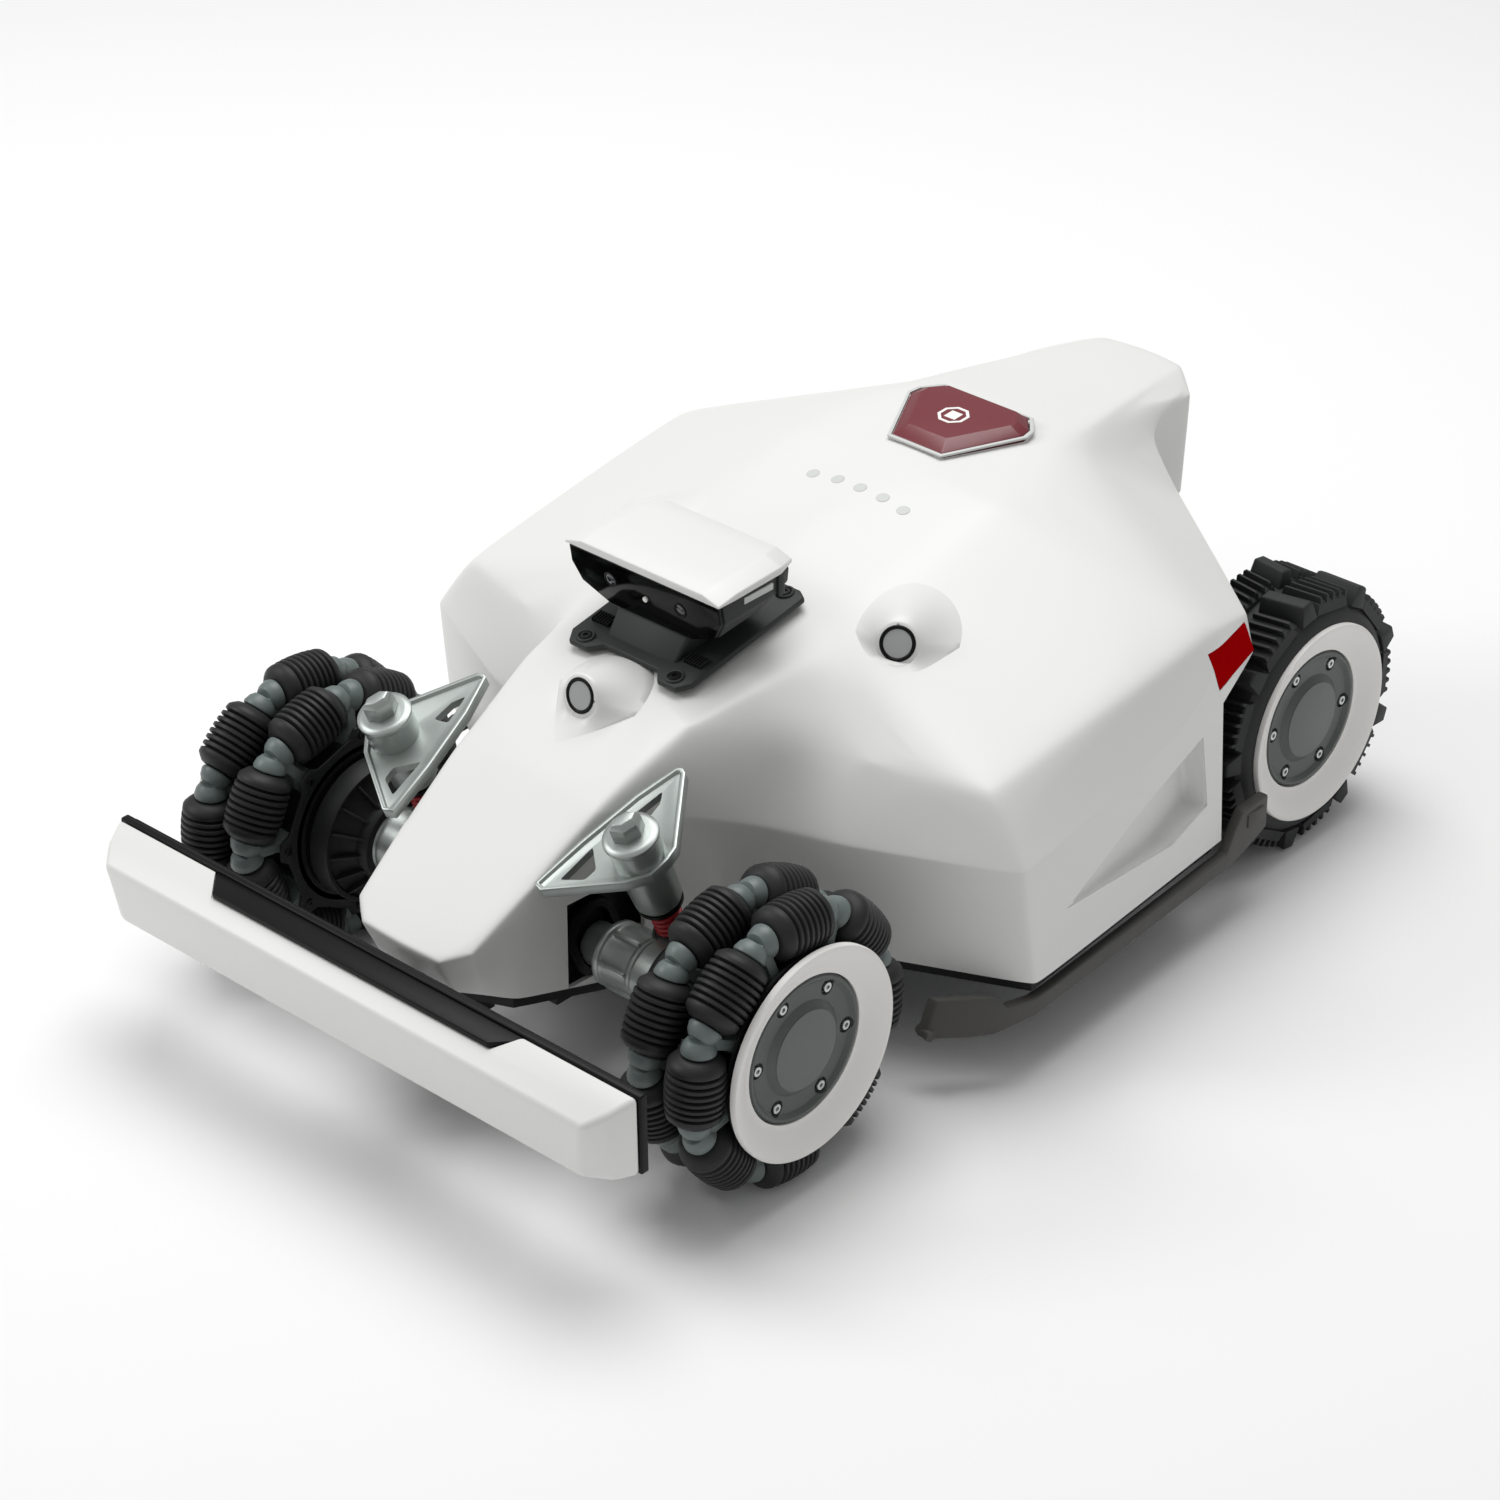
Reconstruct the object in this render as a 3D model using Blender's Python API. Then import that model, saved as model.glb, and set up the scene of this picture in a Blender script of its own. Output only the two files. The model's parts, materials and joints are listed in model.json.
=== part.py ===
"""Four-wheeled robotic lawn mower: white shell, front omni wheels on spring struts, camera head.

Units are metres and +Z is up. The front faces -Y and the driver's left is +X. The origin is the
middle of the footprint, on the ground. Lengths along the machine are given as the distance behind
the front axle and turned into world positions by at().
"""
import math

import bmesh
import bpy
from mathutils import Matrix, Vector

# Driving dimensions
GAP = 0.0004                    # air between two pieces that touch
FRONT_AXLE_Y = -0.1934          # places the middle of the whole length on Y = 0
WHEELBASE = 0.450
BODY_BOTTOM = 0.060
SKIN = 0.003                    # wall of the moulded shell

# Front omni wheels
WHEEL_R = 0.0855                # circle that the rollers run on, and the height of the axle
ROLLER_R = 0.0165
ROLLER_HALF = 0.0200
ROLLERS = 8
ROW_OUTER_X = 0.1862
ROW_INNER_X = 0.1528
HUB_R = 0.0515
HUB_IN_X = 0.1372
HUB_OUT_X = 0.2028
RING_OUT_X = 0.2077
RING_R = 0.0620
CAP_R = 0.0424
CAP_X = 0.2001
SPACER_R = 0.0795

# Rear wheels
REAR_R = 0.0836
TYRE_IN_X = 0.1360
TYRE_OUT_X = 0.1955
REAR_RING_X = 0.2000

# Suspension strut, leaning back from its cap by LEAN
STRUT_X = 0.0929
STRUT_D = -0.0171               # behind the front axle, at the flange of the cap
STRUT_Z = 0.1812
LEAN = math.radians(22.5)
SLEEVE_R = 0.0145
SLEEVE_END = 0.054              # distances down the strut from the flange
CUP_TOP = 0.080
CUP_R = 0.0118
BORE_R = 0.0100
ROD_R = 0.0035

# Bumper and stop button
BUMPER_HALF = 0.198
BUMPER_TOP = 0.1190
BUMPER_BOTTOM = 0.0708
BUMPER_BACK_D = -0.1155
BUMPER_SPLIT_D = -0.1215
BUMPER_FRONT_D = -0.1480
BUTTON_D = 0.352
BUTTON_Z = 0.2490
BUTTON_RISE = 0.0060
DECK_SLOPE = 0.053              # rise of the rear deck per unit of length

# Mower deck
CUT_D = 0.2425
CUT_X = 0.0950
DISC_R = 0.0760
DECK_Z = 0.0600

# Camera head
PAD_D = 0.078
PAD_Z = 0.2048
PAD_SLOPE = 0.174

# Upper skin, right half: distance from the middle, behind the front axle, and up
SKIN_POINTS = {
    "tip_c": (0.0, -0.1005, 0.1130), "tip": (0.030, -0.0990, 0.1130), "brow": (0.0445, -0.087, 0.1195),
    "nose1_c": (0.0, -0.045, 0.1450), "nose1": (0.0500, -0.045, 0.1455),
    "nose2_c": (0.0, 0.000, 0.1725), "nose2": (0.0545, 0.000, 0.1730),
    "pad1_c": (0.0, 0.078, 0.2048), "pad1": (0.062, 0.060, 0.1980),
    "pad2_c": (0.0, 0.178, 0.2222), "pad2": (0.075, 0.165, 0.2135),
    "deck_c": (0.0, 0.300, 0.2455), "deck": (0.072, 0.300, 0.2420),
    "root_c": (0.0, 0.385, 0.2500), "root": (0.062, 0.378, 0.2475),
    "tail_c": (0.0, 0.535, 0.2320), "tail": (0.030, 0.531, 0.2320),
    "hip": (0.055, 0.4635, 0.2243), "tail_side": (0.052, 0.512, 0.2265),
    "valley_u": (0.086, 0.113, 0.1750), "shoulder0": (0.131, 0.129, 0.1740),
    "shoulder1": (0.200, 0.150, 0.1710), "shoulder2": (0.206, 0.335, 0.1960),
    "valley_l": (0.0707, 0.0869, 0.1330), "waist0": (0.132, 0.1040, 0.1330),
    "waist1": (0.226, 0.147, 0.1330), "waist2": (0.210, 0.338, 0.1490),
    "low_tip_c": (0.0, -0.0885, 0.0880), "low_tip": (0.027, -0.0875, 0.0880),
    "low_brow": (0.0405, -0.079, 0.0880), "low_nose1": (0.048, -0.060, 0.0785),
    "low_nose2": (0.052, 0.004, 0.0600), "low_valley": (0.062, 0.075, 0.0600),
    "low0": (0.132, 0.112, 0.0600), "low1": (0.229, 0.155, 0.0600), "low2": (0.212, 0.343, 0.0570),
    "lamp_top": (0.196, 0.379, 0.1850), "lamp_low": (0.192, 0.3935, 0.1530),
    "rump1": (0.160, 0.405, 0.1890), "rump2": (0.090, 0.456, 0.1920),
    "lip1": (0.157, 0.402, 0.1740), "lip2": (0.088, 0.453, 0.1660),
    "lip3": (0.060, 0.472, 0.1630), "lip4": (0.050, 0.509, 0.1610),
    "lip5": (0.030, 0.528, 0.1610), "lip5_c": (0.0, 0.532, 0.1610),
}
SKIN_FACES = (
    "tip_c nose1_c nose1 brow tip", "nose1_c nose2_c nose2 nose1", "nose2_c pad1_c pad1 nose2",
    "pad1_c pad2_c pad2 pad1", "pad2_c deck_c deck pad2", "deck_c root_c root deck",
    "root_c tail_c tail root", "root tail tail_side hip",
    "tip_c tip low_tip low_tip_c", "tip brow low_brow low_tip", "brow nose1 low_nose1 low_brow",
    "nose1 nose2 low_nose2 low_nose1", "nose2 pad1 valley_u valley_l",
    "nose2 valley_l low_valley low_nose2", "pad1 pad2 shoulder0 valley_u", "pad2 shoulder1 shoulder0",
    "pad2 deck shoulder2 shoulder1", "deck root shoulder2", "valley_u shoulder0 waist0 valley_l",
    "shoulder0 shoulder1 waist1 waist0", "shoulder1 shoulder2 waist2 waist1",
    "valley_l waist0 low0 low_valley", "waist0 waist1 low1 low0", "waist1 waist2 low2 low1",
    "shoulder2 lamp_top lamp_low waist2", "root hip rump2", "root rump2 rump1",
    "root rump1 lamp_top shoulder2", "lamp_top rump1 lip1 lamp_low", "rump1 rump2 lip2 lip1",
    "rump2 hip lip3 lip2", "hip tail_side lip4 lip3", "tail_side tail lip5 lip4", "tail tail_c lip5_c lip5",
)


def at(x, behind, z):
    """World position of a point given by its distance behind the front axle."""
    return Vector((x, FRONT_AXLE_Y + behind, z))


def strut_point(down, side=1.0):
    """Point on the strut's axis, a distance down from the flange of its cap."""
    return at(side * STRUT_X, STRUT_D + math.sin(LEAN) * down, STRUT_Z - math.cos(LEAN) * down)


def strut_axis():
    """Direction up the strut."""
    return Vector((0.0, -math.sin(LEAN), math.cos(LEAN)))


def material(name, colour, roughness, metallic=0.0):
    """Principled material with one colour."""
    mat = bpy.data.materials.get(name)
    if mat:
        return mat
    mat = bpy.data.materials.new(name)
    mat.use_nodes = True
    shader = mat.node_tree.nodes["Principled BSDF"]
    shader.inputs["Base Color"].default_value = (*colour, 1.0)
    shader.inputs["Roughness"].default_value = roughness
    shader.inputs["Metallic"].default_value = metallic
    return mat


def white_plastic():
    return material("white_plastic", (0.86, 0.86, 0.86), 0.45)


def black_plastic():
    return material("black_plastic", (0.02, 0.02, 0.02), 0.5)


def grey_plastic():
    return material("grey_plastic", (0.10, 0.11, 0.11), 0.5)


def cast_alloy():
    return material("cast_alloy", (0.50, 0.53, 0.51), 0.4, 0.8)


def rubber():
    return material("rubber", (0.025, 0.025, 0.025), 0.7)


def add_object(name, bm, mat, origin=(0.0, 0.0, 0.0), smooth=0.6):
    """Turn a world-space bmesh into a named object whose origin is at the given point."""
    origin = Vector(origin)
    bmesh.ops.remove_doubles(bm, verts=bm.verts, dist=1e-6)
    bmesh.ops.recalc_face_normals(bm, faces=bm.faces)
    bmesh.ops.translate(bm, verts=bm.verts, vec=-origin)
    mesh = bpy.data.meshes.new(name)
    bm.to_mesh(mesh)
    bm.free()
    mesh.shade_smooth()
    mesh.set_sharp_from_angle(angle=smooth)
    mesh.materials.append(mat)
    obj = bpy.data.objects.new(name, mesh)
    obj.location = origin
    bpy.context.scene.collection.objects.link(obj)
    return obj


def boolean(obj, operation, other):
    """Cut or join another object into this one, and keep the other out of the build."""
    modifier = obj.modifiers.new(operation.lower(), "BOOLEAN")
    modifier.operation = operation
    modifier.solver = "EXACT"
    modifier.object = other
    other.hide_render = True
    other.display_type = "WIRE"


def box(bm, low, high):
    """Axis-aligned block between two corners."""
    low, high = Vector(low), Vector(high)
    made = bmesh.ops.create_cube(bm, size=1.0)
    size = high - low
    bmesh.ops.scale(bm, vec=size, verts=made["verts"])
    bmesh.ops.translate(bm, vec=(low + high) / 2, verts=made["verts"])
    return made["verts"]


def axis_matrix(start, direction):
    """Matrix that takes local +Z to a direction and the local origin to a point."""
    turn = Vector(direction).to_track_quat("Z", "Y").to_matrix().to_4x4()
    return Matrix.Translation(start) @ turn


def turned(bm, profile, start, direction, sides=16):
    """Solid of revolution: profile of (radius, height) pairs, its first and last radius closed."""
    place = axis_matrix(start, direction)
    rings = []
    for radius, height in profile:
        ring = []
        for i in range(sides):
            angle = 2 * math.pi * i / sides
            point = Vector((radius * math.cos(angle), radius * math.sin(angle), height))
            ring.append(bm.verts.new(place @ point))
        rings.append(ring)
    for low, high in zip(rings, rings[1:]):
        for i in range(sides):
            j = (i + 1) % sides
            bm.faces.new((low[i], low[j], high[j], high[i]))
    bm.faces.new(list(reversed(rings[0])))
    bm.faces.new(rings[-1])


def extruded(bm, outline, shift):
    """Closed prism from a loop of world points, pushed along a vector."""
    shift = Vector(shift)
    near = [bm.verts.new(p) for p in outline]
    far = [bm.verts.new(Vector(p) + shift) for p in outline]
    bm.faces.new(near)
    bm.faces.new(list(reversed(far)))
    for i in range(len(near)):
        j = (i + 1) % len(near)
        bm.faces.new((near[j], near[i], far[i], far[j]))


def loft(bm, sections):
    """Closed body through a row of sections that have the same number of points."""
    rows = [[bm.verts.new(p) for p in section] for section in sections]
    for low, high in zip(rows, rows[1:]):
        for i in range(len(low)):
            j = (i + 1) % len(low)
            bm.faces.new((low[i], low[j], high[j], high[i]))
    bm.faces.new(list(reversed(rows[0])))
    bm.faces.new(rows[-1])


def soften(bm, width, segments=2, sharper_than=0.4):
    """Bevel the edges of a bmesh that turn by more than an angle."""
    edges = [e for e in bm.edges if len(e.link_faces) == 2 and e.calc_face_angle() > sharper_than]
    bmesh.ops.bevel(bm, geom=edges, offset=width, offset_type="OFFSET", segments=segments,
                    profile=0.5, affect="EDGES", clamp_overlap=True, material=-1)


# Shell

def skin_half(bm, side):
    verts = {}
    for name, (x, behind, z) in SKIN_POINTS.items():
        verts[name] = bm.verts.new(at(side * x, behind, z))
    for row in SKIN_FACES:
        loop = [verts[name] for name in row.split()]
        bm.faces.new(loop if side > 0 else list(reversed(loop)))


def skin_surface():
    """Open outer surface of the shell, both halves merged on the middle line."""
    bm = bmesh.new()
    skin_half(bm, 1.0)
    skin_half(bm, -1.0)
    bmesh.ops.remove_doubles(bm, verts=bm.verts, dist=1e-5)
    bmesh.ops.recalc_face_normals(bm, faces=bm.faces)
    top = max(bm.faces, key=lambda f: f.calc_center_median().z)
    if top.normal.z < 0:
        bmesh.ops.reverse_faces(bm, faces=bm.faces)
    return bm


def button_outline(grow, z):
    """Shield-shaped outline of the stop button, wide at the back and narrow at the front."""
    corners = ((-0.0186, -0.0327), (0.0186, -0.0327), (0.0420, 0.0110), (0.0410, 0.0185),
               (0.0314, 0.0296), (-0.0314, 0.0296), (-0.0410, 0.0185), (-0.0420, 0.0110))
    points = []
    for x, d in corners:
        scale = 1.0 + grow / math.hypot(x, d)
        points.append(at(x * scale, BUTTON_D + d * scale, z + DECK_SLOPE * d * scale))
    return points


def lamp_outline(grow, out):
    """Four corners of a tail lamp on the slanting facet behind the side wall (left side)."""
    top_front, top_back = Vector((0.2065, 0.3290, 0.1835)), Vector((0.1975, 0.3750, 0.1810))
    low_back, low_front = Vector((0.1955, 0.3880, 0.1570)), Vector((0.2090, 0.3385, 0.1575))
    corners = [top_front, top_back, low_back, low_front]
    middle = sum(corners, Vector()) / 4
    normal = (top_back - top_front).cross(low_front - top_front).normalized()
    if normal.x < 0:
        normal = -normal
    return [at(*(c + (c - middle).normalized() * grow + normal * out)) for c in corners], normal


def mirrored(points, side):
    return [Vector((side * p.x, p.y, p.z)) for p in points]


def sensor_places():
    """Name, centre and facing direction of the three distance sensors."""
    return (
        ("nose_sensor", at(0.0, 0.0417, 0.2025), Vector((0.0, -0.966, 0.259))),
        ("left_shoulder_sensor", at(0.1040, 0.1825, 0.2142), Vector((0.50, -0.74, 0.45)).normalized()),
        ("right_shoulder_sensor", at(-0.1040, 0.1825, 0.2142), Vector((-0.50, -0.74, 0.45)).normalized()),
    )


def make_shell():
    bm = skin_surface()
    soften(bm, 0.005, 2, 0.30)
    shell = add_object("top_shell", bm, white_plastic(), smooth=0.5)
    wall = shell.modifiers.new("wall", "SOLIDIFY")
    wall.thickness = SKIN
    wall.offset = -1.0
    wall.use_even_offset = True
    wall.nonmanifold_merge_threshold = 0.0
    boolean(shell, "DIFFERENCE", button_cutter())
    for side in (1.0, -1.0):
        boolean(shell, "DIFFERENCE", window_cutter(side))
        boolean(shell, "DIFFERENCE", lamp_cutter(side))
    for name, centre, facing in sensor_places():
        boolean(shell, "UNION", sensor_fairing(name, centre, facing))
        boolean(shell, "DIFFERENCE", sensor_cutter(name, centre, facing))


def button_cutter():
    bm = bmesh.new()
    extruded(bm, button_outline(0.0008, BUTTON_Z - 0.03), (0, 0, 0.06))
    return add_object("button_hole_cutter", bm, black_plastic())


def window_cutter(side):
    """Opening in the side of the nose that the front arm passes through."""
    bm = bmesh.new()
    low = at(0.0430 if side > 0 else -0.075, -0.024, 0.0680)
    high = at(0.075 if side > 0 else -0.0430, 0.0290, 0.1220)
    box(bm, low, high)
    return add_object("arm_window_cutter_%s" % ("l" if side > 0 else "r"), bm, black_plastic())


def lamp_cutter(side):
    bm = bmesh.new()
    outline, normal = lamp_outline(0.0008, 0.012)
    push = Vector((-side * normal.x, -normal.y, -normal.z)) * 0.024
    extruded(bm, mirrored(outline, side), push)
    return add_object("lamp_cutter_%s" % ("l" if side > 0 else "r"), bm, black_plastic())


def sensor_fairing(name, centre, facing):
    """Tapered housing that rises out of the skin around a sensor."""
    bm = bmesh.new()
    root = 0.050 if name == "nose_sensor" else 0.028
    turned(bm, ((0.0112, -root), (0.0120, -0.014), (0.0128, 0.0)), centre, facing, 20)
    return add_object(name + "_fairing", bm, white_plastic())


def sensor_cutter(name, centre, facing):
    bm = bmesh.new()
    turned(bm, ((0.0104, -0.0240), (0.0104, 0.012)), centre, facing, 20)
    return add_object(name + "_cutter", bm, black_plastic())


def make_sensors():
    for name, centre, facing in sensor_places():
        bm = bmesh.new()
        profile = ((0.0098, -0.0230), (0.0098, 0.0015), (0.0090, 0.0025), (0.0078, 0.0025),
                   (0.0074, 0.0015))
        turned(bm, profile, centre, facing, 20)
        add_object(name, bm, grey_plastic())


def make_tail_lamps():
    for side, name in ((1.0, "left_tail_lamp"), (-1.0, "right_tail_lamp")):
        bm = bmesh.new()
        outline, normal = lamp_outline(0.0, 0.0006)
        push = Vector((-side * normal.x, -normal.y, -normal.z)) * 0.004
        extruded(bm, mirrored(outline, side), push)
        add_object(name, bm, material("red_lens", (0.35, 0.0, 0.005), 0.2))


# Chassis

def make_chassis():
    bm = bmesh.new()
    under = GAP + 0.0004
    rows = ((-0.082, 0.0265, 0.0880), (-0.060, 0.0450, 0.0785), (0.004, 0.0500, BODY_BOTTOM),
            (0.080, 0.0600, BODY_BOTTOM), (0.1140, 0.1300, BODY_BOTTOM), (0.1570, 0.2240, 0.0598),
            (0.3390, 0.2080, 0.0570))
    sections = []
    for behind, half, top in rows:
        z1 = top - under
        z0 = z1 - 0.006
        sections.append([at(-half, behind, z0), at(half, behind, z0),
                         at(half, behind, z1), at(-half, behind, z1)])
    loft(bm, sections)
    pan = add_object("chassis_pan", bm, black_plastic())
    boolean(pan, "DIFFERENCE", deck_opening_cutter())
    for name, low, high in chassis_blocks():
        block = bmesh.new()
        box(block, low, high)
        boolean(pan, "UNION", add_object(name, block, black_plastic()))
    for side in (1.0, -1.0):
        boolean(pan, "UNION", gearbox_stub(side))
        boolean(pan, "DIFFERENCE", guide_hole(side))


def chassis_blocks():
    """Blocks that rise from the pan: arm housing, rear tub with its housing, and wheel walls."""
    return (
        ("front_housing", at(-0.0440, -0.0270, 0.0560), at(0.0440, 0.0380, 0.1300)),
        ("bumper_mount", at(-0.0260, -0.0800, 0.0620), at(0.0260, -0.0560, 0.0760)),
        ("rear_tub", at(-0.1230, 0.3360, 0.0520), at(0.1230, 0.4950, 0.1180)),
        ("rear_housing", at(-0.0480, 0.3400, 0.1100), at(0.0480, 0.4900, 0.1560)),
        ("left_well_wall", at(0.1200, 0.3345, 0.0535), at(0.2045, 0.3375, 0.1440)),
        ("right_well_wall", at(-0.2045, 0.3345, 0.0535), at(-0.1200, 0.3375, 0.1440)),
    )


def deck_opening_cutter():
    bm = bmesh.new()
    box(bm, at(-0.186, 0.160, 0.03), at(0.186, 0.325, 0.09))
    return add_object("deck_opening_cutter", bm, black_plastic())


def gearbox_stub(side):
    """Round end of a rear gearbox, whose face the wheel turns against."""
    bm = bmesh.new()
    turned(bm, ((0.034, 0.0), (0.034, 0.010), (0.026, 0.0150)),
           at(side * 0.1200, WHEELBASE, REAR_R), (side, 0, 0), 20)
    return add_object("gearbox_stub_%s" % ("l" if side > 0 else "r"), bm, black_plastic())


def guide_hole(side):
    bm = bmesh.new()
    turned(bm, ((0.0045, -0.02), (0.0045, 0.05)), at(side * 0.0150, -0.080, 0.0690), (0, 1, 0), 12)
    return add_object("guide_hole_%s" % ("l" if side > 0 else "r"), bm, black_plastic())


def make_guards():
    """Skid rail under each side, with a hooked front end and an upright tail in front of the wheel."""
    path = ((0.1950, 0.1010), (0.2225, 0.1370), (0.2300, 0.1600), (0.2170, 0.3500),
            (0.2145, 0.3640), (0.2140, 0.3850))
    tops = (0.0570, 0.0570, 0.0515, 0.0495, 0.0700, 0.0700)
    lows = (0.0360, 0.0340, 0.0340, 0.0340, 0.0360, 0.0480)
    thick = 0.0070
    for side, name in ((1.0, "left_side_guard"), (-1.0, "right_side_guard")):
        bm = bmesh.new()
        sections = []
        for (x, d), top, low in zip(path, tops, lows):
            sections.append([at(side * x, d, low), at(side * x, d, top),
                             at(side * (x - thick), d, top), at(side * (x - thick), d, low)])
        loft(bm, sections)
        add_object(name, bm, grey_plastic())


# Bumper

def make_bumper():
    bm = bmesh.new()
    top, low = BUMPER_TOP + 0.0005, BUMPER_BOTTOM - 0.0004
    back = [at(-BUMPER_HALF, BUMPER_SPLIT_D, low), at(BUMPER_HALF, BUMPER_SPLIT_D, low),
            at(BUMPER_HALF, BUMPER_SPLIT_D, top), at(-BUMPER_HALF, BUMPER_SPLIT_D, top)]
    front = [at(-0.176, -0.1430, 0.0701), at(0.176, -0.1430, 0.0701),
             at(0.183, BUMPER_FRONT_D, 0.1073), at(-0.183, BUMPER_FRONT_D, 0.1073)]
    loft(bm, [back, front])
    soften(bm, 0.0030, 2)
    beam = add_object("front_bumper", bm, white_plastic(), origin=at(0, BUMPER_SPLIT_D, 0.09))
    boolean(beam, "DIFFERENCE", notch("bumper_notch_cutter", 0.0, 0.1130, 0.1300, black_plastic()))


def notch(name, inset, low, high, mat):
    """Trapezium that is cut from the top of the beam and filled by the backing."""
    outline = [at(-0.1203 + inset, BUMPER_SPLIT_D + 0.002, low), at(-0.1056 + inset, -0.1368 + inset, low),
               at(0.1056 - inset, -0.1368 + inset, low), at(0.1203 - inset, BUMPER_SPLIT_D + 0.002, low)]
    bm = bmesh.new()
    extruded(bm, outline, (0, 0, high - low))
    return add_object(name, bm, mat)


def make_bumper_backing():
    bm = bmesh.new()
    box(bm, at(-BUMPER_HALF, BUMPER_SPLIT_D + GAP, BUMPER_BOTTOM), at(BUMPER_HALF, BUMPER_BACK_D, BUMPER_TOP))
    backing = add_object("bumper_backing", bm, rubber(), origin=at(0, BUMPER_BACK_D, 0.09))
    boolean(backing, "UNION", notch("backing_tongue", 0.0006, 0.1136, 0.1176, rubber()))
    for side in (1.0, -1.0):
        pin = bmesh.new()
        turned(pin, ((0.0040, -0.050), (0.0040, 0.0)), at(side * 0.0150, -0.0680, 0.0690), (0, 1, 0), 12)
        arm = bmesh.new()
        box(arm, at(side * 0.0150 - 0.006, BUMPER_BACK_D - 0.004, 0.0630),
            at(side * 0.0150 + 0.006, -0.0950, 0.0850))
        tag = "l" if side > 0 else "r"
        boolean(backing, "UNION", add_object("bumper_arm_" + tag, arm, rubber()))
        boolean(backing, "UNION", add_object("guide_pin_" + tag, pin, rubber()))


def make_stop_button():
    bm = bmesh.new()
    loft(bm, [button_outline(0.0, BUTTON_Z - 0.0100), button_outline(0.0, BUTTON_Z + 0.5 * BUTTON_RISE),
              button_outline(-0.0040, BUTTON_Z + BUTTON_RISE)])
    red = material("red_button", (0.20, 0.03, 0.04), 0.4)
    add_object("stop_button", bm, red, origin=at(0, BUTTON_D, BUTTON_Z))


# Camera head

def pad_z(behind, above=0.0):
    """Height of the flat pad under the camera, plus an amount."""
    return PAD_Z + PAD_SLOPE * (behind - PAD_D) + above


def make_camera():
    low = GAP + 0.0002
    high = low + 0.0040
    outline = ((-0.0200, 0.0820), (-0.0265, 0.0745), (-0.0400, 0.0745), (-0.0455, 0.0830),
               (-0.0455, 0.1740), (-0.0390, 0.1780), (0.0390, 0.1780), (0.0455, 0.1740),
               (0.0455, 0.0830), (0.0400, 0.0745), (0.0265, 0.0745), (0.0200, 0.0820))
    bm = bmesh.new()
    bottom = [at(x, d, pad_z(d, low)) for x, d in outline]
    extruded(bm, bottom, (0, 0, high - low))
    base = add_object("camera_base", bm, grey_plastic())
    neck = bmesh.new()
    loft(neck, [neck_section(0.0255, 0.0880, 0.1600, None, high - 0.001),
                neck_section(0.0300, 0.0950, 0.1500, 0.2315, 0.0)])
    boolean(base, "UNION", add_object("camera_neck", neck, grey_plastic()))
    make_camera_head()


def neck_section(half, front, back, z, above):
    heights = [pad_z(d, above) if z is None else z for d in (front, back)]
    return [at(-half, front, heights[0]), at(half, front, heights[0]),
            at(half, back, heights[1]), at(-half, back, heights[1])]


def make_camera_head():
    bm = bmesh.new()
    front = [at(-0.0370, 0.1070, 0.2320), at(0.0370, 0.1070, 0.2320), at(0.0495, 0.1024, 0.2400),
             at(0.0560, 0.0966, 0.2552), at(-0.0560, 0.0966, 0.2552), at(-0.0495, 0.1024, 0.2400)]
    rear = [at(-0.0370, 0.1480, 0.2320), at(0.0370, 0.1480, 0.2320), at(0.0495, 0.1500, 0.2400),
            at(0.0540, 0.1510, 0.2552), at(-0.0540, 0.1510, 0.2552), at(-0.0495, 0.1500, 0.2400)]
    loft(bm, [front, rear])
    head = add_object("camera_head", bm, grey_plastic())
    window = bmesh.new()
    loft(window, [camera_window_section(0.0006), camera_window_section(0.0030)])
    add_object("camera_window", window, material("black_glass", (0.004, 0.004, 0.005), 0.05))
    hood = bmesh.new()
    loft(hood, [hood_section(0.0915, 0.0575, -0.0010), hood_section(0.1050, 0.0575, 0.0016),
                hood_section(0.1420, 0.0560, 0.0022), hood_section(0.1560, 0.0510, 0.0000)])
    boolean(head, "UNION", add_object("camera_hood", hood, white_plastic()))


def camera_window_section(out):
    """Window outline, moved forward from the face of the head."""
    points = ((-0.0365, 0.1065, 0.2325), (0.0365, 0.1065, 0.2325), (0.0490, 0.1020, 0.2402),
              (0.0553, 0.0962, 0.2540), (-0.0553, 0.0962, 0.2540), (-0.0490, 0.1020, 0.2402))
    return [at(x, d - out, z) for x, d, z in points]


def hood_section(behind, half, lift):
    return [at(-half, behind, 0.2546), at(half, behind, 0.2546), at(half, behind, 0.2586 + lift),
            at(0.78 * half, behind, 0.2622 + lift), at(-0.78 * half, behind, 0.2622 + lift),
            at(-half, behind, 0.2586 + lift)]


# Front suspension

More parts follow.
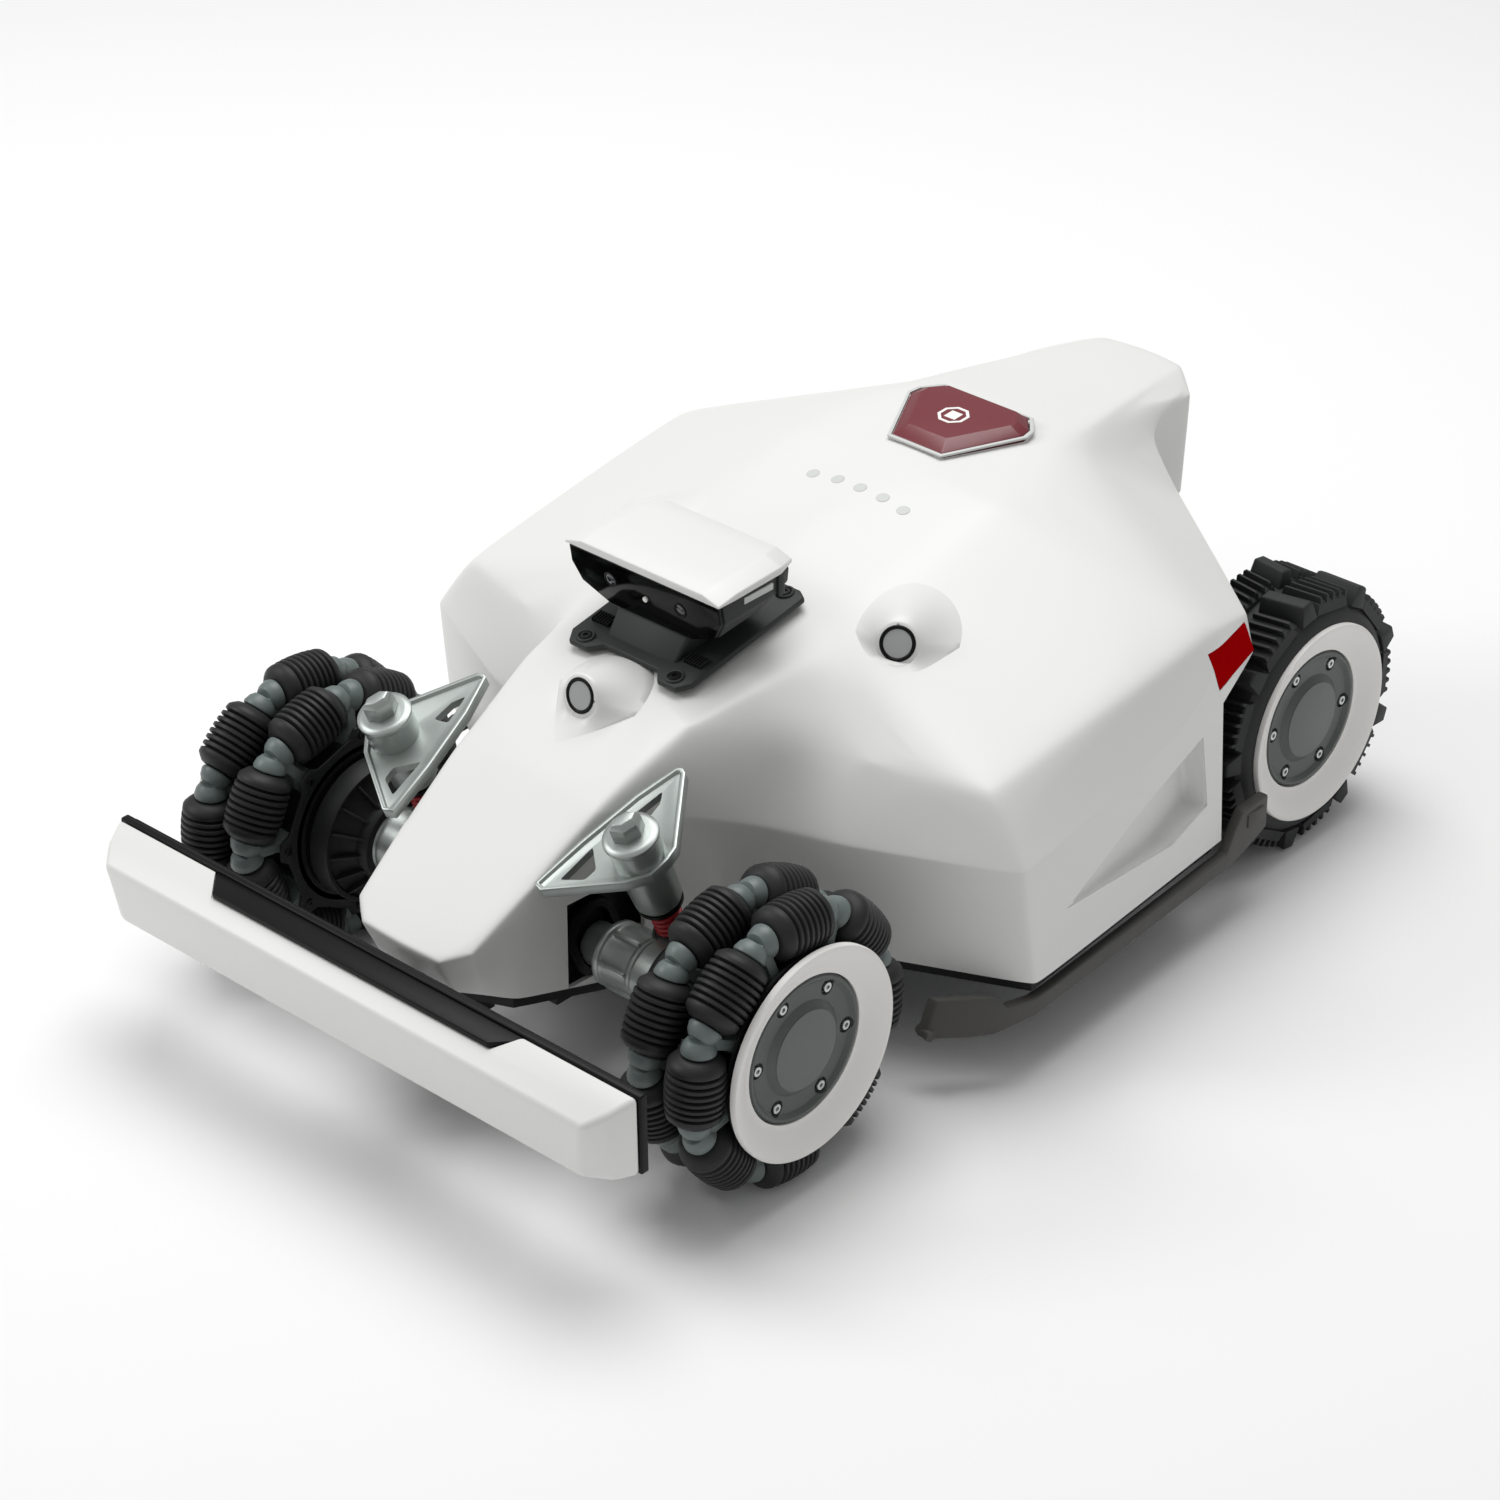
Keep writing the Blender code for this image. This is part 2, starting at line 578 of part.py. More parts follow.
def make_bracket(side, name):
    """Triangular bracket on the side of the nose that carries the strut's sleeve and its cap."""
    axis = strut_axis()
    level = strut_point(0.0180, 1.0)

    def on_plane(x, behind, up):
        z = level.z + (behind + FRONT_AXLE_Y - level.y) * math.tan(LEAN)
        return Vector((side * x, behind + FRONT_AXLE_Y, z)) + axis * up

    outline = ((0.0545, -0.0480), (0.0590, -0.0150), (0.0655, 0.0200), (0.0730, 0.0430),
               (0.0800, 0.0400), (0.1070, 0.0000), (0.1060, -0.0200), (0.0950, -0.0300))
    bm = bmesh.new()
    extruded(bm, [on_plane(x, d, 0.0) for x, d in outline], axis * -0.0060)
    bracket = add_object(name, bm, cast_alloy())
    sleeve = bmesh.new()
    profile = ((SLEEVE_R - 0.002, -SLEEVE_END), (SLEEVE_R, -0.040), (SLEEVE_R, -0.006),
               (SLEEVE_R + 0.0012, -0.004), (SLEEVE_R + 0.0012, 0.0), (0.0095, 0.0015), (0.0090, 0.0125),
               (0.0080, 0.0135))
    turned(sleeve, profile, strut_point(0.0, side), axis, 20)
    tag = "l" if side > 0 else "r"
    boolean(bracket, "UNION", add_object("sleeve_" + tag, sleeve, cast_alloy()))
    bore = bmesh.new()
    turned(bore, ((BORE_R, -SLEEVE_END - 0.01), (BORE_R, -0.0080)), strut_point(0.0, side), axis, 16)
    boolean(bracket, "DIFFERENCE", add_object("sleeve_bore_" + tag, bore, cast_alloy()))


def make_arm(side, name):
    """Cast arm: stub in the nose, drum on the axle line, gearbox disc and spring cup with its rod."""
    bm = bmesh.new()
    stations = ((0.0130, 0.0470), (0.0130, 0.0600), (0.0200, 0.0640), (0.0200, 0.1060), (0.0300, 0.1160),
                (0.0430, 0.1230), (0.0430, 0.1330), (0.0085, 0.1345), (0.0080, 0.1620))
    axle = at(0, 0, WHEEL_R)
    turned(bm, stations, axle, (side, 0, 0), 16)
    arm = add_object(name, bm, cast_alloy(), origin=strut_point(CUP_TOP, side))
    tag = "l" if side > 0 else "r"
    cup = bmesh.new()
    turned(cup, ((CUP_R, -0.024), (CUP_R, 0.0), (CUP_R - 0.002, 0.0), (CUP_R - 0.002, -0.003),
                 (ROD_R, -0.003), (ROD_R, 0.058)), strut_point(CUP_TOP, side), strut_axis(), 16)
    boolean(arm, "UNION", add_object("spring_cup_" + tag, cup, cast_alloy()))


def make_spring(side, name):
    """Closed coil of round wire between the cup of the arm and the mouth of the sleeve."""
    turns, per_turn, sides = 5, 8, 5
    wire, coil = 0.0012, 0.0076
    length = CUP_TOP - SLEEVE_END + 0.0030 - 2 * (wire + GAP)
    place = axis_matrix(strut_point(CUP_TOP, side), strut_axis())
    bm = bmesh.new()
    sections = []
    for i in range(turns * per_turn + 1):
        t = i / (turns * per_turn)
        angle = 2 * math.pi * turns * t
        height = -0.0030 + wire + GAP + length * t
        centre = Vector((coil * math.cos(angle), coil * math.sin(angle), height))
        outward = Vector((math.cos(angle), math.sin(angle), 0))
        ring = []
        for k in range(sides):
            a = 2 * math.pi * k / sides
            ring.append(place @ (centre + outward * wire * math.cos(a) + Vector((0, 0, wire * math.sin(a)))))
        sections.append(ring)
    loft(bm, sections)
    add_object(name, bm, material("red_spring", (0.45, 0.02, 0.03), 0.35), origin=strut_point(CUP_TOP, side))


# Wheels

def roller_angles(row):
    """Angles of a row's rollers about the axle, from the rear of the wheel upwards."""
    first = 85.0 if row == "outer" else 62.5
    return [math.radians(first + 360.0 / ROLLERS * i) for i in range(ROLLERS)]


def radial(angle):
    return Vector((0.0, math.cos(angle), math.sin(angle)))


def tangent(angle):
    return Vector((0.0, -math.sin(angle), math.cos(angle)))


def make_hub(side, name):
    """Wheel centre with its outer ring and cap, and the wedge-shaped posts between the rollers."""
    bm = bmesh.new()
    profile = ((HUB_R, HUB_IN_X), (HUB_R, HUB_OUT_X), (RING_R, HUB_OUT_X + 0.0012),
               (RING_R, RING_OUT_X - 0.0010), (RING_R - 0.002, RING_OUT_X), (CAP_R + 0.002, CAP_X - 0.002),
               (CAP_R, CAP_X))
    turned(bm, profile, at(0, 0, WHEEL_R), (side, 0, 0), 24)
    hub = add_object(name, bm, grey_plastic(), origin=at(side * ROW_OUTER_X, 0, WHEEL_R))
    tag = "l" if side > 0 else "r"
    bore = bmesh.new()
    turned(bore, ((0.0092, 0.12), (0.0092, 0.166)), at(0, 0, WHEEL_R), (side, 0, 0), 16)
    boolean(hub, "DIFFERENCE", add_object("hub_bore_" + tag, bore, grey_plastic()))
    for row, row_x in (("outer", ROW_OUTER_X), ("inner", ROW_INNER_X)):
        for i, angle in enumerate(roller_angles(row)):
            post = spacer_post(side * row_x, angle + math.pi / ROLLERS)
            boolean(hub, "UNION", add_object("post_%s_%s_%d" % (tag, row, i), post, grey_plastic()))


def spacer_post(x, angle):
    """Wedge between two rollers: it widens outwards, parallel to the ends of both."""
    bm = bmesh.new()
    out, along = radial(angle), tangent(angle)
    half_pitch = math.pi / ROLLERS
    sections = []
    for distance in (HUB_R - 0.006, 0.0580, SPACER_R):
        flank = (distance * math.sin(half_pitch) - ROLLER_HALF - GAP) / math.cos(half_pitch)
        wide = 0.0020 if distance < 0.058 else max(0.0020, flank)
        thick = 0.0125 if distance < SPACER_R else 0.0070
        middle = at(x, 0, WHEEL_R) + out * distance
        cross = Vector((thick, 0, 0))
        sections.append([middle - along * wide - cross, middle + along * wide - cross,
                         middle + along * wide + cross, middle - along * wide + cross])
    loft(bm, sections)
    return bm


def make_rollers(side, wheel):
    """Barrel rollers whose outer line follows the circle that the wheel runs on."""
    axis_r = WHEEL_R - ROLLER_R
    heights = (-1.0, -0.80, 0.0, 0.80, 1.0)
    for row, row_x in (("outer", ROW_OUTER_X), ("inner", ROW_INNER_X)):
        for i, angle in enumerate(roller_angles(row)):
            profile = []
            for h in heights:
                along = h * ROLLER_HALF
                radius = math.sqrt(WHEEL_R ** 2 - along ** 2) - axis_r
                profile.append((radius - (0.0035 if abs(h) == 1.0 else 0.0), along))
            centre = at(side * row_x, 0, WHEEL_R) + radial(angle) * axis_r
            bm = bmesh.new()
            turned(bm, profile, centre, tangent(angle), 8)
            add_object("roller_%s_%s_%d" % (wheel, row, i + 1), bm, rubber(), origin=centre)


def make_rear_wheel(side, name):
    bm = bmesh.new()
    profile = ((0.0560, TYRE_IN_X + 0.0012), (0.0700, TYRE_IN_X), (REAR_R - 0.002, TYRE_IN_X + 0.006),
               (REAR_R, TYRE_IN_X + 0.014), (REAR_R, TYRE_OUT_X - 0.014),
               (REAR_R - 0.003, TYRE_OUT_X - 0.002),
               (RING_R + 0.003, TYRE_OUT_X + 0.001), (RING_R - 0.001, REAR_RING_X + 0.003),
               (CAP_R + 0.002, REAR_RING_X - 0.004), (CAP_R - 0.001, REAR_RING_X - 0.003))
    turned(bm, profile, at(0, WHEELBASE, REAR_R), (side, 0, 0), 32)
    add_object(name, bm, rubber(), origin=at(side * 0.16, WHEELBASE, REAR_R))


# Mower deck

def make_cutting_deck():
    bm = bmesh.new()
    box(bm, at(-0.183, 0.163, DECK_Z - 0.008), at(0.183, 0.322, DECK_Z - 0.003))
    deck = add_object("cutting_deck", bm, black_plastic(), origin=at(0, CUT_D, DECK_Z))
    post = bmesh.new()
    turned(post, ((0.018, -0.006), (0.018, 0.060)), at(0, CUT_D, DECK_Z), (0, 0, 1), 16)
    boolean(deck, "UNION", add_object("lift_post", post, black_plastic()))
    for side in (1.0, -1.0):
        motor = bmesh.new()
        turned(motor, ((0.030, -0.006), (0.030, 0.040), (0.024, 0.044)),
               at(side * CUT_X, CUT_D, DECK_Z), (0, 0, 1), 20)
        tag = "l" if side > 0 else "r"
        boolean(deck, "UNION", add_object("blade_motor_" + tag, motor, black_plastic()))


def make_blade_disc(side, name):
    """Disc with three swinging razor blades, drawn as tabs that stand out of its rim."""
    centre = at(side * CUT_X, CUT_D, DECK_Z)
    steel = material("blade_steel", (0.6, 0.6, 0.6), 0.3, 1.0)
    bm = bmesh.new()
    turned(bm, ((0.020, -0.0190), (0.062, -0.0170), (0.066, -0.0140), (0.024, -0.0095), (0.010, -0.0085)),
           centre, (0, 0, 1), 24)
    disc = add_object(name, bm, steel, origin=centre)
    for i in range(3):
        turn = Matrix.Rotation(2 * math.pi * i / 3 + 0.4, 3, "Z")
        outline = [(0.052, -0.008), (DISC_R, -0.007), (DISC_R, 0.007), (0.052, 0.008)]
        blade = bmesh.new()
        points = [centre + turn @ Vector((x, y, -0.0158)) for x, y in outline]
        extruded(blade, points, (0, 0, 0.0010))
        tag = "%s_%d" % ("l" if side > 0 else "r", i)
        boolean(disc, "UNION", add_object("blade_" + tag, blade, steel))


def clear_scene():
    for obj in list(bpy.data.objects):
        bpy.data.objects.remove(obj, do_unlink=True)


def main():
    clear_scene()
    make_shell()
    make_chassis()
    make_guards()
    make_bumper()
    make_bumper_backing()
    make_stop_button()
    make_sensors()
    make_tail_lamps()
    make_camera()
    make_cutting_deck()
    for side, hand in ((1.0, "left"), (-1.0, "right")):
        make_bracket(side, hand + "_strut_bracket")
        make_arm(side, hand + "_front_arm")
        make_spring(side, hand + "_spring")
        make_hub(side, hand + "_front_hub")
        make_rollers(side, hand)
        make_rear_wheel(side, hand + "_rear_wheel")
        make_blade_disc(side, hand + "_blade_disc")


main()
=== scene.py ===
"""Look of a four-wheeled robotic lawn mower: white shell, omni wheels on struts, camera head.

Units are metres. The front faces -Y, the machine's left is +X and the ground is z = 0. Positions
along the machine are written as distances behind the front axle and turned into the frame by at().
"""
from __future__ import annotations

import json
import logging
import math
from dataclasses import dataclass, field
from enum import Enum

import bmesh
import bpy
from mathutils import Matrix, Vector
from mathutils.bvhtree import BVHTree


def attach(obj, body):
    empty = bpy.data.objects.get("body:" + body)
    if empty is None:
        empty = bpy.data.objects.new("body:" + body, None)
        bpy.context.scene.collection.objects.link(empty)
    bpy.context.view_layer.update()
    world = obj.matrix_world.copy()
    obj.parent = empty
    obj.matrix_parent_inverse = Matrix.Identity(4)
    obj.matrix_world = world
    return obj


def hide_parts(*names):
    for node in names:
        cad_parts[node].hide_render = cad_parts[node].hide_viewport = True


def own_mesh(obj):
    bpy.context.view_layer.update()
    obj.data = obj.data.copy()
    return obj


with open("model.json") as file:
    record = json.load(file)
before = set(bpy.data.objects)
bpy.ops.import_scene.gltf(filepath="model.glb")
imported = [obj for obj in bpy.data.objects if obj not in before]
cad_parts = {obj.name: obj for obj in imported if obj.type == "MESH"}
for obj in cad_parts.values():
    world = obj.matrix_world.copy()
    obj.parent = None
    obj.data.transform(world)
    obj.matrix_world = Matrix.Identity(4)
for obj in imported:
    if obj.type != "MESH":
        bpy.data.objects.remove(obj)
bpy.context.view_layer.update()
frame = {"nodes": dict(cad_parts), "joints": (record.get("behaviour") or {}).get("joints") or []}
LOG = logging.getLogger("mower")
JOINTS = {joint["name"]: joint for joint in frame["joints"]}
AXLE = Vector(JOINTS["left_front_wheel_spin"]["pos_m"])
REAR_AXLE = Vector(JOINTS["left_rear_wheel_spin"]["pos_m"])
STRUT_UP = Vector(JOINTS["left_front_strut"]["axis"]).normalized()
ROLLERS_PER_ROW = 8


class Side(Enum):
    """A side of the machine, with the sign that its X coordinates take."""

    LEFT = 1.0
    RIGHT = -1.0

    @property
    def word(self) -> str:
        """Name used in bodies and pieces."""
        return self.name.lower()


class Row(Enum):
    """A row of rollers on a front wheel."""

    OUTER = "outer"
    INNER = "inner"


def at(x: float, behind: float, up: float) -> Vector:
    """Point in the frame from a distance behind the front axle.

    Args:
        x: Distance towards the machine's left.
        behind: Distance behind the front axle.
        up: Height above the ground.

    Returns:
        The point in the frame.
    """
    return Vector((x, AXLE.y + behind, up))


# ---------------------------------------------------------------------------- finishes


def linear(code: str) -> tuple[float, float, float, float]:
    """Turn an sRGB hex code into a linear colour.

    Args:
        code: Six hex digits.

    Returns:
        Linear red, green, blue and an alpha of one.
    """
    parts = [int(code[i:i + 2], 16) / 255 for i in (0, 2, 4)]
    turned = [c / 12.92 if c <= 0.04045 else ((c + 0.055) / 1.055) ** 2.4 for c in parts]
    return turned[0], turned[1], turned[2], 1.0


def shaded(code: str, amount: float) -> tuple[float, float, float, float]:
    """Linear colour of a hex code, made lighter or darker by a share."""
    red, green, blue, alpha = linear(code)
    return min(1.0, red * amount), min(1.0, green * amount), min(1.0, blue * amount), alpha


def add_node(tree: bpy.types.NodeTree, kind: str, settings: dict | None = None,
             links: dict | None = None) -> bpy.types.Node:
    """Add a node to a tree.

    Args:
        tree: Node tree that gets the node.
        kind: Blender's name of the node type.
        settings: Attribute names, or input names, and their values.
        links: Input names and the output sockets that feed them.

    Returns:
        The new node.
    """
    node = tree.nodes.new(kind)
    for name, value in (settings or {}).items():
        if name in node.inputs:
            node.inputs[name].default_value = value
        else:
            setattr(node, name, value)
    for name, socket in (links or {}).items():
        tree.links.new(socket, node.inputs[name])
    return node


@dataclass(frozen=True)
class Finish:
    """A material and how its surface was made.

    Attributes:
        name: Material and process, in a maker's words.
        colour: sRGB hex code.
        roughness: Mean roughness.
        specular: Strength of the mirror-like part of the sheen, where 0.5 is that of the bare material.
        grain_mm: Size of the surface texture.
        grain_depth_mm: Height of the surface texture.
        mottle: Share by which patches are lighter or darker.
        mottle_mm: Size of the patches.
        drift: How far roughness wanders from its mean.
    """

    name: str
    colour: str
    roughness: float
    metallic: float = 0.0
    ior: float = 1.5
    specular: float = 0.5
    coat: float = 0.0
    coat_roughness: float = 0.05
    grain_mm: float = 1.0
    grain_depth_mm: float = 0.02
    mottle: float = 0.03
    mottle_mm: float = 60.0
    drift: float = 0.05
    stretch: tuple[float, float, float] = (1.0, 1.0, 1.0)

    def material(self) -> bpy.types.Material:
        """Build the material once, and return it each time it is asked for."""
        found = bpy.data.materials.get(self.name)
        if found:
            return found
        made = bpy.data.materials.new(self.name)
        made.use_nodes = True
        tree = made.node_tree
        shader = tree.nodes["Principled BSDF"]
        shader.inputs["Metallic"].default_value = self.metallic
        shader.inputs["IOR"].default_value = self.ior
        shader.inputs["Specular IOR Level"].default_value = self.specular
        shader.inputs["Coat Weight"].default_value = self.coat
        shader.inputs["Coat Roughness"].default_value = self.coat_roughness
        place = add_node(tree, "ShaderNodeTexCoord").outputs["Object"]
        mapped = add_node(tree, "ShaderNodeMapping", {"Scale": self.stretch}, {"Vector": place}).outputs["Vector"]
        self.paint(tree, shader, mapped)
        return made

    def paint(self, tree: bpy.types.NodeTree, shader: bpy.types.Node, place: bpy.types.NodeSocket) -> None:
        """Wire colour, roughness and relief.

        Args:
            tree: Node tree of the material.
            shader: Its Principled shader.
            place: Socket with the object coordinates.
        """
        patches = add_node(tree, "ShaderNodeTexNoise", {"Scale": 1000.0 / self.mottle_mm, "Detail": 3.0},
                           {"Vector": place}).outputs["Fac"]
        shade = add_node(tree, "ShaderNodeMix", {"data_type": "RGBA"})
        shade.inputs[6].default_value = shaded(self.colour, 1.0 - self.mottle)
        shade.inputs[7].default_value = shaded(self.colour, 1.0 + self.mottle)
        tree.links.new(patches, shade.inputs[0])
        tree.links.new(shade.outputs[2], shader.inputs["Base Color"])
        low, high = self.roughness - self.drift, self.roughness + self.drift
        rough = add_node(tree, "ShaderNodeMapRange", {"To Min": low, "To Max": high}, {"Value": patches})
        tree.links.new(rough.outputs["Result"], shader.inputs["Roughness"])
        tree.links.new(self.relief(tree, place), shader.inputs["Normal"])

    def relief(self, tree: bpy.types.NodeTree, place: bpy.types.NodeSocket) -> bpy.types.NodeSocket:
        """Fine uneven skin.

        Args:
            tree: Node tree of the material.
            place: Socket with the object coordinates.

        Returns:
            Socket with the bumped normal.
        """
        grain = add_node(tree, "ShaderNodeTexNoise", {"Scale": 1000.0 / self.grain_mm, "Detail": 2.0},
                         {"Vector": place}).outputs["Fac"]
        bump = add_node(tree, "ShaderNodeBump", {"Strength": 0.6, "Distance": self.grain_depth_mm / 1000.0},
                        {"Height": grain})
        return bump.outputs["Normal"]


@dataclass(frozen=True)
class PebbledFinish(Finish):
    """Plastic from a spark-eroded tool: small rounded pebbles that break up the shine."""

    def relief(self, tree: bpy.types.NodeTree, place: bpy.types.NodeSocket) -> bpy.types.NodeSocket:
        """Pebbles in place of the soft skin.

        Args:
            tree: Node tree of the material.
            place: Socket with the object coordinates.

        Returns:
            Socket with the bumped normal.
        """
        cells = add_node(tree, "ShaderNodeTexVoronoi", {"Scale": 1000.0 / self.grain_mm, "feature": "SMOOTH_F1"},
                         {"Vector": place}).outputs["Distance"]
        bump = add_node(tree, "ShaderNodeBump",
                        {"Strength": 0.7, "Distance": self.grain_depth_mm / 1000.0, "invert": True},
                        {"Height": cells})
        return bump.outputs["Normal"]


# Painted, satin: the shell reads as soft white with a faint orange peel of about 2 mm.
SHELL_WHITE = Finish("satin_painted_asa", "E2E2E0", 0.40, coat=0.15, coat_roughness=0.30, grain_mm=2.2,
                     grain_depth_mm=0.012, mottle=0.012, mottle_mm=120.0, drift=0.03)
# Injection moulded nylon: a warmer, flatter white than the painted shell.
RING_WHITE = Finish("moulded_white_nylon", "ECEAE7", 0.52, grain_mm=1.2, grain_depth_mm=0.015, mottle=0.015,
                    mottle_mm=30.0)
# Textured ABS: broad, dull highlights. Pebbles are drawn at 0.9 mm, coarser than the real 0.3 mm.
BLACK_ABS = PebbledFinish("textured_black_abs", "1C1D1D", 0.50, specular=0.25, grain_mm=0.9, grain_depth_mm=0.05, mottle=0.08,
                          mottle_mm=40.0)
CHARCOAL_ABS = PebbledFinish("textured_charcoal_abs", "4A4D4C", 0.48, specular=0.32, grain_mm=0.9, grain_depth_mm=0.04,
                             mottle=0.05, mottle_mm=35.0)
GUARD_GREY = PebbledFinish("textured_warm_grey_nylon", "4C4B49", 0.50, specular=0.32, grain_mm=1.1,
                           grain_depth_mm=0.05, mottle=0.08, mottle_mm=30.0)
CAMERA_ABS = PebbledFinish("textured_dark_abs", "2F3231", 0.50, specular=0.32, grain_mm=0.9, grain_depth_mm=0.04, mottle=0.05,
                           mottle_mm=35.0)
CAP_GREY = PebbledFinish("textured_grey_abs", "626865", 0.46, grain_mm=0.9, grain_depth_mm=0.04, mottle=0.04,
                         mottle_mm=30.0)
CAP_DARK = PebbledFinish("textured_dark_grey_abs", "505553", 0.44, grain_mm=0.9, grain_depth_mm=0.04, mottle=0.05,
                         mottle_mm=30.0)
# Glass-filled nylon: grey-green, slightly cloudy, with short streaks of fibre along X.
FIBRE_NYLON = Finish("glass_filled_nylon", "66706E", 0.42, grain_mm=0.8, grain_depth_mm=0.03, mottle=0.08,
                     mottle_mm=14.0, stretch=(0.4, 1.0, 1.0))
# Moulded rubber: dark, with a greyish bloom in patches and a wide soft sheen.
ROLLER_RUBBER = Finish("moulded_soft_rubber", "262627", 0.50, specular=0.3, grain_mm=0.7, grain_depth_mm=0.05, mottle=0.14,
                       mottle_mm=12.0, drift=0.09)
TYRE_RUBBER = Finish("moulded_tyre_rubber", "2B2C2D", 0.60, specular=0.3, grain_mm=1.0, grain_depth_mm=0.06, mottle=0.12,
                     mottle_mm=18.0, drift=0.08)
# Die-cast aluminium under silver paint: satin metal with a fine blasted skin.
CAST_SILVER = Finish("painted_die_cast_aluminium", "A9AFAC", 0.36, metallic=0.75, grain_mm=0.8,
                     grain_depth_mm=0.05, mottle=0.05, mottle_mm=20.0, drift=0.06)
DARK_CASTING = Finish("dark_anodised_casting", "3B3E3D", 0.42, metallic=0.55, grain_mm=0.8, grain_depth_mm=0.05,
                      mottle=0.08, mottle_mm=16.0)
# Zinc-plated steel: bright screw heads.
ZINC_STEEL = Finish("zinc_plated_steel", "C6C9C8", 0.28, metallic=1.0, grain_mm=0.6, grain_depth_mm=0.01,
                    mottle=0.06, mottle_mm=4.0)
BLACK_STEEL = Finish("black_oxide_steel", "1A1A1B", 0.35, metallic=0.6, grain_mm=0.6, grain_depth_mm=0.01,
                     mottle=0.10, mottle_mm=4.0)
# Powder coat: even red with a slight pebble.
SPRING_RED = Finish("red_powder_coat", "A81D24", 0.36, grain_mm=0.8, grain_depth_mm=0.03, mottle=0.06,
                    mottle_mm=8.0)
# Satin moulded ABS, deep red.
BUTTON_RED = Finish("satin_maroon_abs", "70222B", 0.34, coat=0.25, coat_roughness=0.2, grain_mm=1.0,
                    grain_depth_mm=0.012, mottle=0.03, mottle_mm=25.0)
BEZEL_GREY = Finish("moulded_pale_grey_abs", "C9CBC9", 0.42, grain_mm=1.0, grain_depth_mm=0.012, mottle=0.02,
                    mottle_mm=25.0)
PRINT_WHITE = Finish("screen_print_white", "F2EFEC", 0.45, grain_mm=0.6, grain_depth_mm=0.004, mottle=0.02,
                     mottle_mm=10.0)
# Polished acrylic, tinted through: deep red with a hard highlight.
LAMP_RED = Finish("tinted_red_acrylic", "A00207", 0.14, ior=1.33, specular=0.0, grain_mm=3.0, grain_depth_mm=0.006, mottle=0.12,
                  mottle_mm=6.0, drift=0.03)
# Opaque black acrylic over the cameras: near-mirror.
CAMERA_GLASS = Finish("polished_black_acrylic", "050506", 0.10, specular=0.18, grain_mm=6.0, grain_depth_mm=0.002,
                      mottle=0.05, mottle_mm=30.0, drift=0.02)
LENS_GLASS = Finish("coated_lens_glass", "10131C", 0.03, coat=1.0, coat_roughness=0.02, grain_mm=6.0,
                    grain_depth_mm=0.001, mottle=0.05, mottle_mm=5.0, drift=0.01)
# Frosted sensor face.
SENSOR_GREY = Finish("frosted_grey_polycarbonate", "A9ACAB", 0.42, grain_mm=0.6, grain_depth_mm=0.01, mottle=0.03,
                     mottle_mm=6.0)
SEAL_BLACK = Finish("moulded_black_seal", "0B0B0C", 0.38, specular=0.18, grain_mm=0.7, grain_depth_mm=0.02, mottle=0.08,
                    mottle_mm=8.0)
# Ground steel: streaks of 0.5 mm along the grinding.
BLADE_STEEL = Finish("ground_blade_steel", "A9ADB0", 0.30, metallic=1.0, grain_mm=0.5, grain_depth_mm=0.02,
                     mottle=0.06, mottle_mm=10.0, stretch=(0.1, 1.0, 1.0))
FLOOR_WHITE = Finish("matt_studio_floor", "F4F4F4", 0.85, grain_mm=4.0, grain_depth_mm=0.01, mottle=0.002,
                     mottle_mm=400.0, drift=0.02)


# ---------------------------------------------------------------------------- shapes


def lathe(profile: list[tuple[float, float]], steps: int = 48, closed: bool = False) -> bmesh.types.BMesh:
    """Spin a profile a full turn about local Z.

    Args:
        profile: Radius and height of each point.
        steps: Number of segments round the turn.
        closed: Whether the last point joins the first, as in a ring.

    Returns:
        The spun shape.
    """
    shape = bmesh.new()
    verts = [shape.verts.new((radius, 0.0, height)) for radius, height in profile]
    edges = [shape.edges.new(pair) for pair in zip(verts, verts[1:])]
    if closed:
        edges.append(shape.edges.new((verts[-1], verts[0])))
    bmesh.ops.spin(shape, geom=[*verts, *edges], cent=(0, 0, 0), axis=(0, 0, 1), angle=math.tau, steps=steps,
                   use_merge=True)
    bmesh.ops.remove_doubles(shape, verts=shape.verts[:], dist=1e-7)
    bmesh.ops.recalc_face_normals(shape, faces=shape.faces[:])
    return shape


def prism(outline: list[tuple[float, float]], depth: float) -> bmesh.types.BMesh:
    """Extrude a flat outline along local Z.

    Args:
        outline: Corners in the local XY plane.
        depth: Height of the prism.

    Returns:
        The closed prism.
    """
    shape = bmesh.new()
    base = shape.faces.new([shape.verts.new((x, y, 0.0)) for x, y in outline])
    made = bmesh.ops.extrude_face_region(shape, geom=[base], use_keep_orig=True)
    moved = [part for part in made["geom"] if isinstance(part, bmesh.types.BMVert)]
    bmesh.ops.translate(shape, verts=moved, vec=(0, 0, depth))
    bmesh.ops.recalc_face_normals(shape, faces=shape.faces[:])
    return shape


def loft(sections: list[list[Vector]]) -> bmesh.types.BMesh:
    """Bridge a row of closed sections and cap both ends.

    Args:
        sections: Loops with the same number of points.

    Returns:
        The closed body.
    """
    shape = bmesh.new()
    loops = []
    for section in sections:
        verts = [shape.verts.new(point) for point in section]
        edges = [shape.edges.new((verts[i - 1], verts[i])) for i in range(len(verts))]
        loops.append((verts, edges))
    for low, high in zip(loops, loops[1:]):
        bmesh.ops.bridge_loops(shape, edges=[*low[1], *high[1]])
    shape.faces.new(loops[0][0])
    shape.faces.new(loops[-1][0])
    bmesh.ops.recalc_face_normals(shape, faces=shape.faces[:])
    return shape


